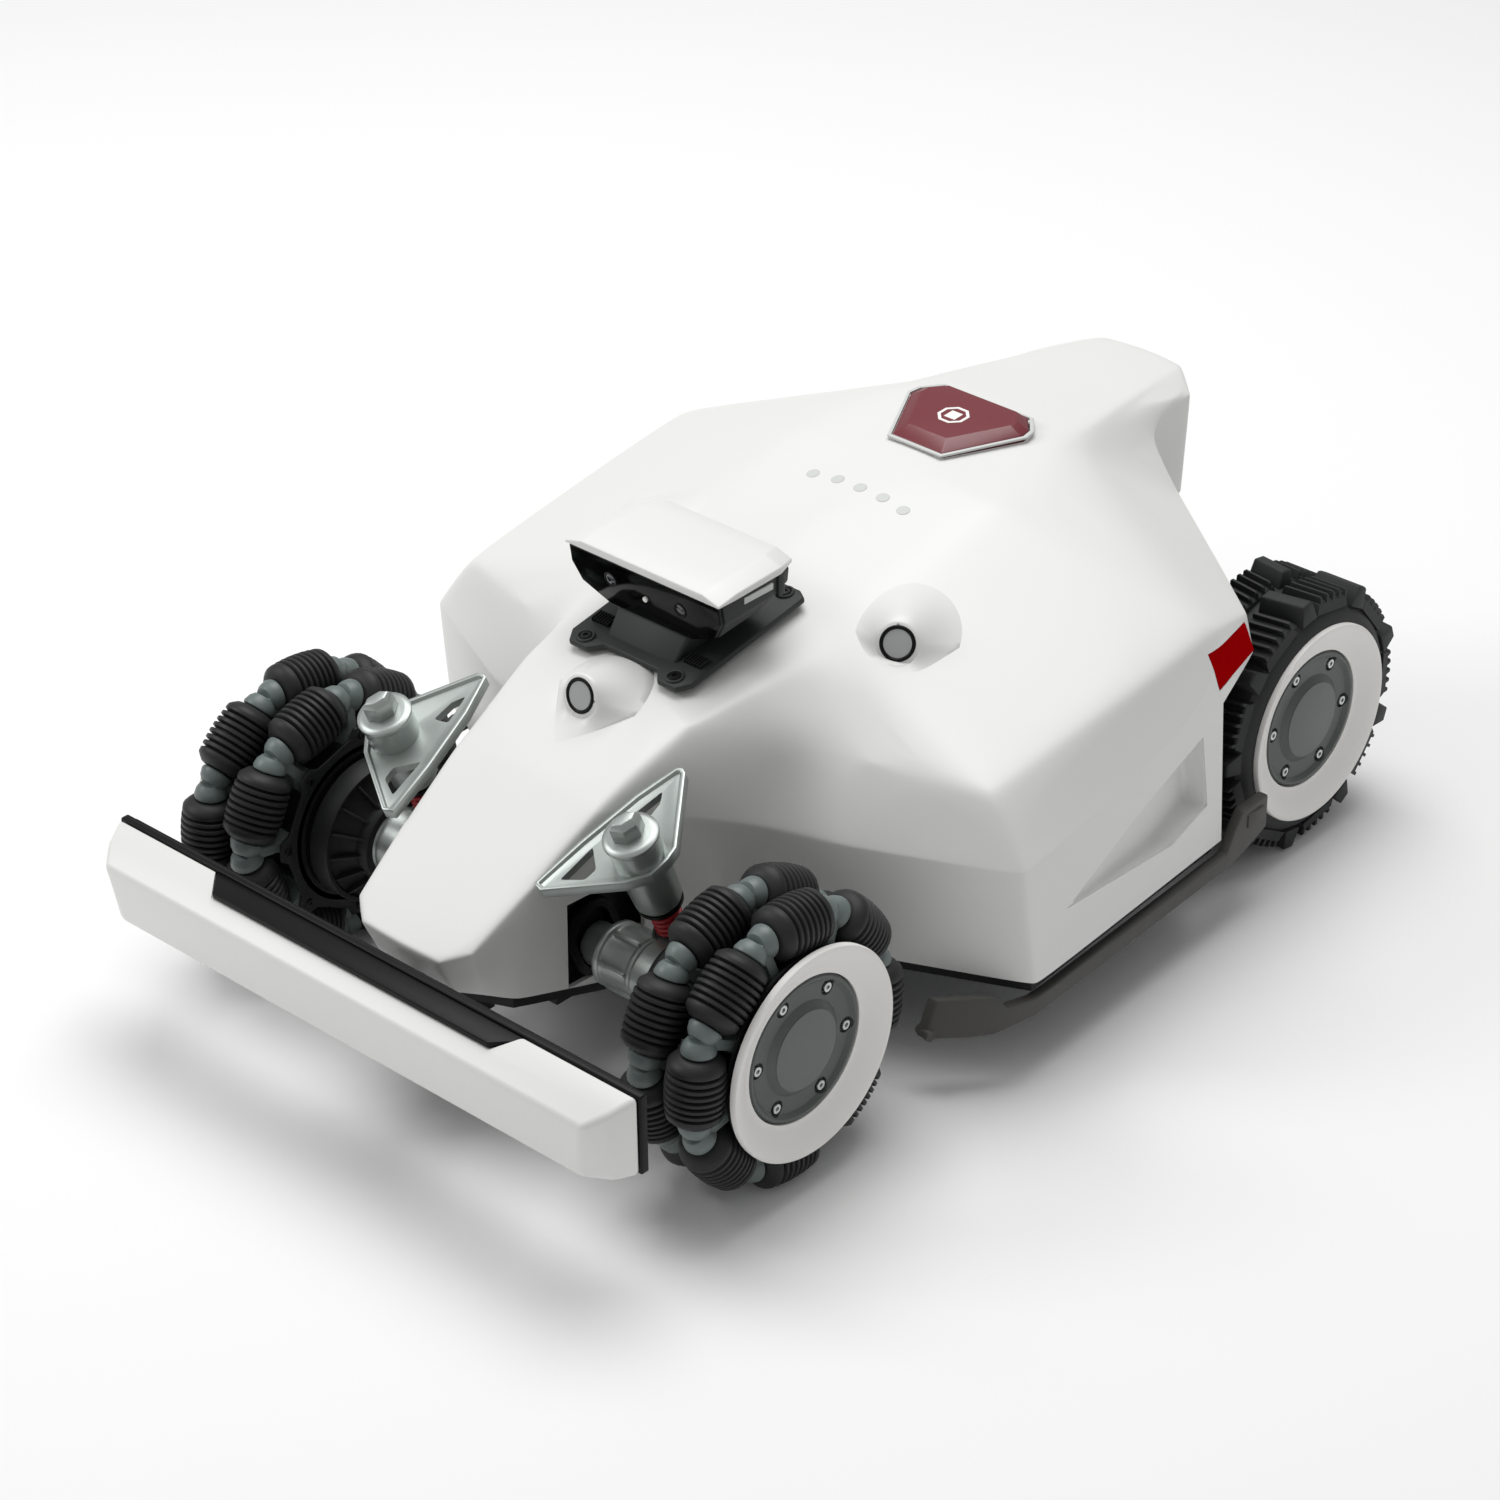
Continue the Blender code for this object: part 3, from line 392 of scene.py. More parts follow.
def block(low: Vector, high: Vector) -> bmesh.types.BMesh:
    """Box between two corners."""
    shape = bmesh.new()
    bmesh.ops.create_cube(shape, size=1.0)
    bmesh.ops.scale(shape, vec=high - low, verts=shape.verts[:])
    bmesh.ops.translate(shape, vec=(low + high) / 2, verts=shape.verts[:])
    return shape


def softened(shape: bmesh.types.BMesh, width: float, segments: int = 3, angle: float = 25.0) -> bmesh.types.BMesh:
    """Round the edges that turn by more than an angle.

    Args:
        shape: Shape to change.
        width: Width of the rounding.
        segments: Number of facets in the rounding.
        angle: Smallest turn, in degrees, that is rounded.

    Returns:
        The same shape.
    """
    limit = math.radians(angle)
    edges = [e for e in shape.edges if len(e.link_faces) == 2 and e.calc_face_angle() > limit]
    bmesh.ops.bevel(shape, geom=edges, offset=width, offset_type="OFFSET", segments=segments, profile=0.5,
                    affect="EDGES", clamp_overlap=True, material=-1)
    return shape


def facing(origin: Vector, out: Vector, along: Vector | None = None) -> Matrix:
    """Matrix that takes local Z to a direction and local X near another.

    Args:
        origin: Where the local origin goes.
        out: Direction of local Z.
        along: Direction near local X, or None for any.

    Returns:
        The placing matrix.
    """
    z = out.normalized()
    hint = along if along is not None else (Vector((0, 1, 0)) if abs(z.y) < 0.9 else Vector((1, 0, 0)))
    x = (hint - z * hint.dot(z)).normalized()
    y = z.cross(x)
    turn = Matrix((x, y, z)).transposed().to_4x4()
    return Matrix.Translation(origin) @ turn


def ellipse(place: Matrix, wide: float, tall: float, steps: int = 40) -> list[Vector]:
    """Points of an ellipse in the local XY plane of a matrix."""
    angles = [math.tau * i / steps for i in range(steps)]
    return [place @ Vector((wide * math.cos(a), tall * math.sin(a), 0.0)) for a in angles]


@dataclass
class Piece:
    """One visible piece, put together from shapes that each have a finish."""

    name: str
    body: str
    sharp_from: float = 32.0
    mesh: bmesh.types.BMesh = field(default_factory=bmesh.new)
    finishes: list[Finish] = field(default_factory=list)

    def add(self, shape: bmesh.types.BMesh, finish: Finish, place: Matrix | None = None) -> Piece:
        """Put a shape into the piece.

        Args:
            shape: Shape to add. It is used up.
            finish: Finish of all its faces.
            place: Matrix that takes the shape into the frame.

        Returns:
            This piece.
        """
        if finish not in self.finishes:
            self.finishes.append(finish)
        for face in shape.faces:
            face.material_index = self.finishes.index(finish)
        if place is not None:
            shape.transform(place)
            if place.determinant() < 0:
                bmesh.ops.reverse_faces(shape, faces=shape.faces[:])
        passing = bpy.data.meshes.new("passing")
        shape.to_mesh(passing)
        shape.free()
        self.mesh.from_mesh(passing)
        bpy.data.meshes.remove(passing)
        return self

    def build(self, *replaced: str, slot: str = "") -> bpy.types.Object:
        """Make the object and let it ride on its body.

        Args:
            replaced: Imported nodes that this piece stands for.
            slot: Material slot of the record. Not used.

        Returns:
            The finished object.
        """
        data = bpy.data.meshes.new(self.name)
        self.mesh.to_mesh(data)
        self.mesh.free()
        for finish in self.finishes:
            data.materials.append(finish.material())
        return settle(self.name, data, self.body, replaced, self.sharp_from)


def settle(name: str, data: bpy.types.Mesh, body: str, replaced: tuple[str, ...],
           sharp_from: float) -> bpy.types.Object:
    """Shade a mesh, make its object and tie it to its body.

    Args:
        name: Name of the object.
        data: Finished mesh in frame coordinates.
        body: Body that it rides on.
        replaced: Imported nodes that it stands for.
        sharp_from: Angle in degrees from which an edge is drawn sharp.

    Returns:
        The object.
    """
    data.shade_smooth()
    data.set_sharp_from_angle(angle=math.radians(sharp_from))
    made = bpy.data.objects.new(name, data)
    bpy.context.scene.collection.objects.link(made)
    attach(made, body)
    if replaced:
        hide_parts(*replaced)
    LOG.info("%s rides on %s, %d faces", name, body, len(data.polygons))
    return made


def on_bench(source: bmesh.types.BMesh) -> bpy.types.Object:
    """Short-lived object that modifiers can work on. The shape is used up."""
    data = bpy.data.meshes.new("bench")
    source.to_mesh(data)
    source.free()
    held = bpy.data.objects.new("bench", data)
    bpy.context.scene.collection.objects.link(held)
    return held


def taken_off(work: bpy.types.Object, others: list[bpy.types.Object]) -> bmesh.types.BMesh:
    """Read back the result of an object's modifiers, and remove the object and its helpers."""
    graph = bpy.context.evaluated_depsgraph_get()
    graph.update()
    data = bpy.data.meshes.new_from_object(work.evaluated_get(graph))
    result = bmesh.new()
    result.from_mesh(data)
    bpy.data.meshes.remove(data)
    for held in [work, *others]:
        bpy.data.objects.remove(held)
    return result


def folded(cage: bmesh.types.BMesh, width: float, rim: float) -> bmesh.types.BMesh:
    """Round the weighted edges of a cage, then give each panel a rim so that it stays flat when subdivided.

    Panels that are marked smooth get no rim, so they flow into each other.

    Args:
        cage: Cage with bevel weights on its edges. It is used up.
        width: Width of a fold of weight 1.
        rim: Widest rim inside a panel.

    Returns:
        The folded cage.
    """
    work = on_bench(cage)
    slots = [bpy.data.materials.new(name) for name in ("panel", "fold")]
    for slot in slots:
        work.data.materials.append(slot)
    modifier = work.modifiers.new("fold", "BEVEL")
    modifier.limit_method = "WEIGHT"
    modifier.width = width
    modifier.segments = 2
    modifier.profile = 0.5
    modifier.use_clamp_overlap = False
    modifier.material = 1
    result = taken_off(work, [])
    for face in [face for face in result.faces if face.material_index == 0 and not face.smooth]:
        breadth = 2 * face.calc_area() / face.calc_perimeter()
        bmesh.ops.inset_individual(result, faces=[face], thickness=min(rim, breadth * 0.22), use_even_offset=True)
    crease = result.verts.layers.float.new("crease_vert")
    for vert in result.verts:
        rims = [edge for edge in vert.link_edges if edge.is_boundary]
        if len(rims) == 2:
            first, second = (edge.other_vert(vert).co - vert.co for edge in rims)
            vert[crease] = 1.0 if first.angle(second) < math.radians(130.0) else 0.0
    for face in result.faces:
        face.material_index = 0
    for slot in slots:
        bpy.data.materials.remove(slot)
    return result


def carved(shape: bmesh.types.BMesh, cutters: list[bmesh.types.BMesh], joins: list[bmesh.types.BMesh] | None = None,
           modifiers: list[tuple[str, dict]] | None = None) -> bmesh.types.BMesh:
    """Run modifiers on a shape, then join and cut other shapes with exact Booleans.

    Args:
        shape: Shape to work on. It is used up.
        cutters: Shapes taken away.
        joins: Shapes joined on before anything is taken away.
        modifiers: Modifier types and settings that come first.

    Returns:
        The worked shape.
    """
    work = on_bench(shape)
    tools = []
    for kind, settings in modifiers or []:
        modifier = work.modifiers.new(kind.lower(), kind)
        for name, value in settings.items():
            setattr(modifier, name, value)
    for operation, sources in (("UNION", joins or []), ("DIFFERENCE", cutters)):
        for source in sources:
            tool = on_bench(source)
            tools.append(tool)
            modifier = work.modifiers.new("cut", "BOOLEAN")
            modifier.operation = operation
            modifier.solver = "EXACT"
            modifier.object = tool
    return taken_off(work, tools)


# ---------------------------------------------------------------------------- body shell


@dataclass
class BodyShell:
    """White outer shell: a faceted skin with rounded folds, its wall, holes and sensor housings."""

    wall: float = 0.003
    fold: float = 0.016
    rim: float = 0.005
    button_behind: float = 0.352
    button_up: float = 0.2490
    deck_slope: float = 0.053
    soft: float = 0.75
    middle: float = 0.36
    tight: float = 0.20
    crisp: float = 0.08
    flowing: tuple[str, ...] = ("valley_u",)
    surface: BVHTree | None = None

    def points(self) -> dict[str, tuple[float, float, float]]:
        """Named control points of the left half: distance from the middle, behind the axle, and up."""
        return {
            "tip_c": (0.0, -0.1005, 0.1130), "tip": (0.030, -0.0990, 0.1130), "brow": (0.0445, -0.087, 0.1195),
            "nose1_c": (0.0, -0.045, 0.1450), "nose1": (0.0500, -0.045, 0.1455),
            "nose2_c": (0.0, 0.000, 0.1725), "nose2": (0.0545, 0.000, 0.1730),
            "pad1_c": (0.0, 0.078, 0.2048), "pad1": (0.062, 0.060, 0.1980),
            "pad2_c": (0.0, 0.178, 0.2222), "pad2": (0.075, 0.165, 0.2135),
            "deck_c": (0.0, 0.300, 0.2455), "deck": (0.072, 0.300, 0.2420),
            "root_c": (0.0, 0.385, 0.2500), "root": (0.062, 0.378, 0.2475),
            "tail_c": (0.0, 0.535, 0.2320), "tail": (0.030, 0.531, 0.2320),
            "hip": (0.055, 0.4635, 0.2243), "tail_side": (0.052, 0.512, 0.2265),
            "valley_u": (0.086, 0.113, 0.1750), "shoulder0": (0.131, 0.129, 0.1740),
            "shoulder1": (0.200, 0.150, 0.1710), "shoulder2": (0.206, 0.335, 0.1960),
            "valley_l": (0.0707, 0.0869, 0.1330), "waist0": (0.132, 0.1040, 0.1330),
            "waist1": (0.226, 0.147, 0.1330), "waist2": (0.210, 0.338, 0.1490),
            "low_tip_c": (0.0, -0.0885, 0.0880), "low_tip": (0.027, -0.0875, 0.0880),
            "low_brow": (0.0405, -0.079, 0.0880), "low_nose1": (0.048, -0.060, 0.0785),
            "low_nose2": (0.052, 0.004, 0.0600), "low_valley": (0.062, 0.075, 0.0600),
            "low0": (0.132, 0.112, 0.0600), "low1": (0.229, 0.155, 0.0600), "low2": (0.212, 0.343, 0.0570),
            "lamp_top": (0.196, 0.379, 0.1850), "lamp_low": (0.192, 0.3935, 0.1530),
            "rump1": (0.160, 0.405, 0.1890), "rump2": (0.090, 0.456, 0.1920),
            "lip1": (0.157, 0.402, 0.1740), "lip2": (0.088, 0.453, 0.1660),
            "lip3": (0.060, 0.472, 0.1630), "lip4": (0.050, 0.509, 0.1610),
            "lip5": (0.030, 0.528, 0.1610), "lip5_c": (0.0, 0.532, 0.1610),
        }

    def panels(self) -> tuple[str, ...]:
        """Panels of the left half, each a loop of control points."""
        return (
            "tip_c nose1_c nose1 brow tip", "nose1_c nose2_c nose2 nose1", "nose2_c pad1_c pad1 nose2",
            "pad1_c pad2_c pad2 pad1", "pad2_c deck_c deck pad2", "deck_c root_c root deck",
            "root_c tail_c tail root", "root tail tail_side hip",
            "tip_c tip low_tip low_tip_c", "tip brow low_brow low_tip", "brow nose1 low_nose1 low_brow",
            "nose1 nose2 low_nose2 low_nose1", "nose2 pad1 valley_u valley_l",
            "nose2 valley_l low_valley low_nose2", "pad1 pad2 shoulder0 valley_u", "pad2 shoulder1 shoulder0",
            "pad2 deck shoulder2 shoulder1", "deck root shoulder2", "valley_u shoulder0 waist0 valley_l",
            "shoulder0 shoulder1 waist1 waist0", "shoulder1 shoulder2 waist2 waist1",
            "valley_l waist0 low0 low_valley", "waist0 waist1 low1 low0", "waist1 waist2 low2 low1",
            "shoulder2 lamp_top lamp_low waist2", "root hip rump2", "root rump2 rump1",
            "root rump1 lamp_top shoulder2", "lamp_top rump1 lip1 lamp_low", "rump1 rump2 lip2 lip1",
            "rump2 hip lip3 lip2", "hip tail_side lip4 lip3", "tail_side tail lip5 lip4",
            "tail tail_c lip5_c lip5",
        )

    def fold_weights(self) -> dict[str, float]:
        """Share of the widest fold that each named edge gets. Edges not named get the middle share."""
        soft = ("pad1 pad2", "pad2 deck", "deck root", "pad2 shoulder1", "pad2 shoulder0", "deck shoulder2",
                "root shoulder2", "root rump1", "root rump2", "root hip", "shoulder0 waist0", "waist0 low0")
        free = ("valley_u shoulder0", "valley_u pad1", "valley_l valley_u", "low_valley valley_l")
        tight = ("tip low_tip", "brow low_brow", "tip brow", "tip tip_c", "lamp_top lamp_low", "lamp_top rump1",
                 "tail tail_side", "tail tail_c", "tail lip5", "tail_side lip4", "hip lip3", "rump2 lip2",
                 "rump1 lip1", "lamp_top shoulder2", "waist2 shoulder2", "waist2 low2", "waist2 lamp_low",
                 "rump1 rump2", "hip rump2", "hip tail_side", "brow nose1", "tail root")
        waist = ("valley_l waist0", "waist0 waist1", "waist1 waist2")
        weights = {}
        for rows, weight in ((soft, self.soft), (tight, self.tight), (waist, self.crisp), (free, 0.0)):
            for row in rows:
                weights["-".join(sorted(row.split()))] = weight
        return weights

    def skin(self) -> bmesh.types.BMesh:
        """Control cage of both halves, with the width of each fold stored on its edges."""
        cage = bmesh.new()
        corners = {name: cage.verts.new(at(*place)) for name, place in self.points().items()}
        for row in self.panels():
            panel = cage.faces.new([corners[name] for name in row.split()])
            panel.smooth = any(name in self.flowing for name in row.split())
        bmesh.ops.recalc_face_normals(cage, faces=cage.faces[:])
        weight = cage.edges.layers.float.new("bevel_weight_edge")
        named = {vert: name for name, vert in corners.items()}
        chosen = self.fold_weights()
        for edge in cage.edges:
            if len(edge.link_faces) != 2 or abs(edge.calc_face_angle()) < 0.05:
                continue
            key = "-".join(sorted(named[v] for v in edge.verts))
            near = [other.calc_length() for vert in edge.verts for other in vert.link_edges if other is not edge]
            edge[weight] = min(chosen.get(key, self.middle), 0.40 * min(near) / self.fold)
        bmesh.ops.mirror(cage, geom=[*cage.verts, *cage.edges, *cage.faces], matrix=Matrix.Identity(4),
                         merge_dist=1e-5, axis="X")
        bmesh.ops.recalc_face_normals(cage, faces=cage.faces[:])
        highest = max(cage.faces, key=lambda face: face.calc_center_median().z)
        if highest.normal.z < 0:
            bmesh.ops.reverse_faces(cage, faces=cage.faces[:])
        return cage

    def button_outline(self, grow: float) -> list[tuple[float, float]]:
        """Shield-shaped outline of the stop button, in plan.

        Args:
            grow: Distance by which the outline is larger than the button.

        Returns:
            Corners as X and distance behind the button's middle.
        """
        corners = ((-0.0186, -0.0327), (0.0186, -0.0327), (0.0420, 0.0110), (0.0410, 0.0185),
                   (0.0314, 0.0296), (-0.0314, 0.0296), (-0.0410, 0.0185), (-0.0420, 0.0110))
        return [(x * (1 + grow / math.hypot(x, d)), d * (1 + grow / math.hypot(x, d))) for x, d in corners]

    def deck_plane(self, lift: float = 0.0) -> Matrix:
        """Plane of the rear deck under the stop button."""
        slope = Vector((0, 1, self.deck_slope)).normalized()
        up = Vector((1, 0, 0)).cross(slope)
        origin = at(0, self.button_behind, self.button_up) + up * lift
        return facing(origin, up, Vector((1, 0, 0)))

    def lamp_corners(self) -> tuple[list[Vector], Vector]:
        """Corners of the left tail lamp and the direction that it faces."""
        corners = [at(0.2065, 0.3290, 0.1835), at(0.1975, 0.3750, 0.1810), at(0.1955, 0.3880, 0.1570),
                   at(0.2090, 0.3385, 0.1575)]
        out = (corners[1] - corners[0]).cross(corners[3] - corners[0]).normalized()
        return corners, out if out.x > 0 else -out

    def lamp_prism(self, side: Side, grow: float, low: float, high: float) -> bmesh.types.BMesh:
        """Block with the outline of a tail lamp.

        Args:
            side: Side of the machine.
            grow: How much larger than the lamp the block is.
            low: Distance of its inner face from the lamp's plane.
            high: Distance of its outer face.

        Returns:
            The block.
        """
        corners, out = self.lamp_corners()
        middle = sum(corners, Vector()) / 4
        wide = [corner + (corner - middle).normalized() * grow for corner in corners]
        shape = loft([[p + out * low for p in wide], [p + out * high for p in wide]])
        if side is Side.RIGHT:
            bmesh.ops.scale(shape, vec=(-1, 1, 1), verts=shape.verts[:])
            bmesh.ops.reverse_faces(shape, faces=shape.faces[:])
        return shape

    def scoop_corners(self) -> tuple[list[Vector], Vector]:
        """Corners of the hollow in the left side wall, and the wall's outward direction."""
        corners = [at(0.2247, 0.1850, 0.0930), at(0.2180, 0.2500, 0.1160), at(0.2106, 0.3210, 0.1360),
                   at(0.2117, 0.3270, 0.0880), at(0.2150, 0.2900, 0.0800)]
        out = (corners[3] - corners[0]).cross(corners[2] - corners[0]).normalized()
        return corners, out if out.x > 0 else -out

    def scoop(self, side: Side, grow: float, low: float, high: float, sunk: float = 0.0) -> bmesh.types.BMesh:
        """Block with the outline of a side hollow, whose inner face is deeper towards the back.

        Args:
            side: Side of the machine.
            grow: How much larger than the hollow the block is.
            low: Distance of its inner face from the wall.
            high: Distance of its outer face.
            sunk: Extra depth of the inner face at the rear end.

        Returns:
            The block.
        """
        corners, out = self.scoop_corners()
        middle = sum(corners, Vector()) / len(corners)
        wide = [corner + (corner - middle).normalized() * grow for corner in corners]
        front, back = min(p.y for p in corners), max(p.y for p in corners)
        inner = [p + out * (low - sunk * max(0.0, (p.y - front) / (back - front))) for p in wide]
        shape = loft([inner, [p + out * high for p in wide]])
        if side is Side.RIGHT:
            bmesh.ops.scale(shape, vec=(-1, 1, 1), verts=shape.verts[:])
            bmesh.ops.reverse_faces(shape, faces=shape.faces[:])
        return shape

    def cutters(self) -> list[bmesh.types.BMesh]:
        """Shapes taken out of the wall: stop button, arm windows, lamps and side hollows."""
        button = prism(self.button_outline(0.0009), 0.06)
        button.transform(self.deck_plane(-0.03))
        made = [button]
        for side in Side:
            low, high = sorted((side.value * 0.0430, side.value * 0.075))
            made.append(block(at(low, -0.024, 0.0680), at(high, 0.0290, 0.1220)))
            made.append(self.lamp_prism(side, 0.0007, -0.012, 0.012))
            made.append(self.scoop(side, 0.0, -0.012, 0.012))
        return made

    def build(self) -> None:
        """Make the shell and everything that is moulded into it."""
        stack = [
            ("SUBSURF", {"levels": 2, "render_levels": 2}),
            ("SOLIDIFY", {"thickness": self.wall, "offset": -1.0, "use_even_offset": False}),
        ]
        shell = carved(folded(self.skin(), self.fold, self.rim), self.cutters(), modifiers=stack)
        self.surface = BVHTree.FromBMesh(shell)
        Piece("shell", "chassis", 28.0).add(shell, SHELL_WHITE).build("top_shell", slot="white_plastic")
        for side in Side:
            self.build_scoop(side)
            self.build_lamp(side)
        self.build_sensors()
        self.build_deck_marks()

    def build_scoop(self, side: Side) -> None:
        """Line a side hollow with a tray that gets deeper towards the wheel."""
        tray = self.scoop(side, 0.0012, -0.0032, -0.0006, sunk=0.013)
        hollow = self.scoop(side, -0.0006, -0.0018, 0.010, sunk=0.013)
        softened(hollow, 0.0040, 4, 20.0)
        lined = carved(tray, [hollow])
        Piece(f"{side.word}_side_hollow", "chassis", 30.0).add(lined, SHELL_WHITE).build(slot="white_plastic")

    def build_lamp(self, side: Side) -> None:
        """Tail lamp: tinted block with softened edges, in a thin black seat."""
        lens = Piece(f"{side.word}_lamp_lens", "chassis", 25.0)
        lens.add(softened(self.lamp_prism(side, 0.0, -0.0040, 0.0003), 0.0010, 3), LAMP_RED)
        lens.build(f"{side.word}_tail_lamp", slot="red_lens")
        seat = self.lamp_prism(side, 0.0004, -0.0070, -0.0043)
        Piece(f"{side.word}_lamp_seat", "chassis").add(seat, SEAL_BLACK).build()

    def build_sensors(self) -> None:
        """Three distance sensors, each in a housing that flares out of the shell."""
        SensorEye("nose_eye", "nose_sensor", at(0.0, 0.0417, 0.2025), Vector((0.0, -0.966, 0.259)), self.surface,
                  back=0.046, inner=0.029, outer=0.029, ahead=0.032, crown=0.0).build()
        for side in Side:
            out = Vector((side.value * 0.50, -0.74, 0.45)).normalized()
            SensorEye(f"{side.word}_shoulder_eye", f"{side.word}_shoulder_sensor",
                      at(side.value * 0.1040, 0.1825, 0.2142), out, self.surface,
                      back=0.054, inner=0.027, outer=0.034, ahead=0.038, crown=1.0).build()

    def build_deck_marks(self) -> None:
        """Pale seat around the stop button and the row of flush keys ahead of it."""
        ring = prism(self.button_outline(0.0034), 0.0016)
        hole = prism(self.button_outline(0.0008), 0.02)
        hole.transform(Matrix.Translation((0, 0, -0.01)))
        softened(ring, 0.0007, 2)
        seat = carved(ring, [hole])
        Piece("stop_button_seat", "chassis").add(seat, BEZEL_GREY, self.deck_plane(-0.0002)).build()
        keys = Piece("deck_keys", "chassis")
        for x, behind in ((-0.034, 0.268), (-0.017, 0.270), (0.0, 0.270), (0.017, 0.270), (0.034, 0.268)):
            spot, up, _, _ = self.surface.ray_cast(at(x, behind, 0.30), Vector((0, 0, -1)))
            key = lathe([(0.0, -0.0010), (0.0040, -0.0010), (0.0040, 0.0001), (0.0037, 0.0003), (0.0, 0.0003)], 32)
            keys.add(key, BEZEL_GREY, facing(spot, up if up.z > 0 else -up))
        keys.build()


@dataclass
class SensorEye:
    """Distance sensor: frosted face, black ring and a white fairing that runs out into the shell."""

    name: str
    node: str
    centre: Vector
    out: Vector
    surface: BVHTree
    back: float
    inner: float
    outer: float
    ahead: float
    crown: float
    face: float = 0.0082
    ring: float = 0.0101
    brim: float = 0.0122
    steps: int = 56
    stages: tuple[float, ...] = (0.06, 0.16, 0.30, 0.46, 0.62, 0.80, 1.0)
    widest: float = 0.20

    def build(self) -> None:
        """Make the eye and its fairing."""
        across = Vector((-self.out.y, self.out.x, 0.0)).normalized()
        place = facing(self.centre, self.out, across)
        eye = Piece(self.name, "chassis", 30.0)
        ring = lathe([(self.face - 0.0003, -0.004), (self.ring, -0.004), (self.ring, 0.0004),
                      (self.ring - 0.0005, 0.0009), (self.face + 0.0005, 0.0009), (self.face - 0.0003, 0.0003)],
                     48, closed=True)
        eye.add(ring, SEAL_BLACK, place)
        disc = lathe([(0.0, -0.004), (self.face, -0.004), (self.face, 0.0002), (0.0, 0.0005)], 48)
        eye.add(disc, SENSOR_GREY, place)
        eye.build(self.node, slot="sensor_plastic")
        self.build_fairing(place, across)

    def on_shell(self, point: Vector, up: Vector) -> Vector:
        """Point of the shell straight below or above a point."""
        hit, _, _, _ = self.surface.ray_cast(point + up * 0.06, -up, 0.12)
        return hit if hit is not None else self.surface.find_nearest(point)[0]

    def build_fairing(self, place: Matrix, across: Vector) -> None:
        """Drop-shaped fairing, pointed ahead, whose height fades out along the shell."""
        _, up, _, _ = self.surface.find_nearest(self.centre)
        along = (self.out - up * self.out.dot(up)).normalized()
        rim = ellipse(place, self.brim, self.brim, self.steps)
        outward = 1.0 if self.centre.x >= 0 else -1.0
        feet, heights, bases, crowns = [], [], [], []
        for i, point in enumerate(rim):
            angle = math.tau * i / self.steps
            aside, rear = math.cos(angle), math.sin(angle)
            wide = self.outer if aside * outward > 0 else self.inner
            crowns.append(self.crown * max(0.0, rear))
            if rear >= 0:
                aside, reach = aside * wide, -self.back * (self.widest + (1 - self.widest) * rear)
            else:
                share = -rear / (-rear + abs(aside))
                aside = math.copysign(wide * (1 - share), aside)
                reach = -self.back * self.widest * (1 - share) + self.ahead * share
            feet.append(self.centre + across * aside + along * reach)
            base = self.on_shell(point, up)
            bases.append(base)
            heights.append(max(0.0002, (point - base).dot(up)))
        seat = ellipse(place, self.ring - 0.0001, self.ring - 0.0001, self.steps)
        lip = [point - self.out * 0.0006 for point in ellipse(place, self.brim, self.brim, self.steps)]
        sections = [[point - self.out * 0.006 for point in seat], seat,
                    ellipse(place, self.brim - 0.0008, self.brim - 0.0008, self.steps), lip]
        for stage in self.stages:
            row = []
            for base, foot, height, crown in zip(bases, feet, heights, crowns):
                floor = self.on_shell(base.lerp(foot, stage), up)
                fade = (1 - crown) * (1 - stage) ** 1.2 + crown * (1 - stage) ** 2 * (1 + 2 * stage)
                row.append(floor + up * (height * fade - 0.0004 * stage))
            sections.append(row)
        sections.append([point - up * 0.0015 for point in sections[-1]])
        Piece(f"{self.name}_fairing", "chassis", 60.0).add(loft(sections), SHELL_WHITE).build(slot="white_plastic")


# ---------------------------------------------------------------------------- camera


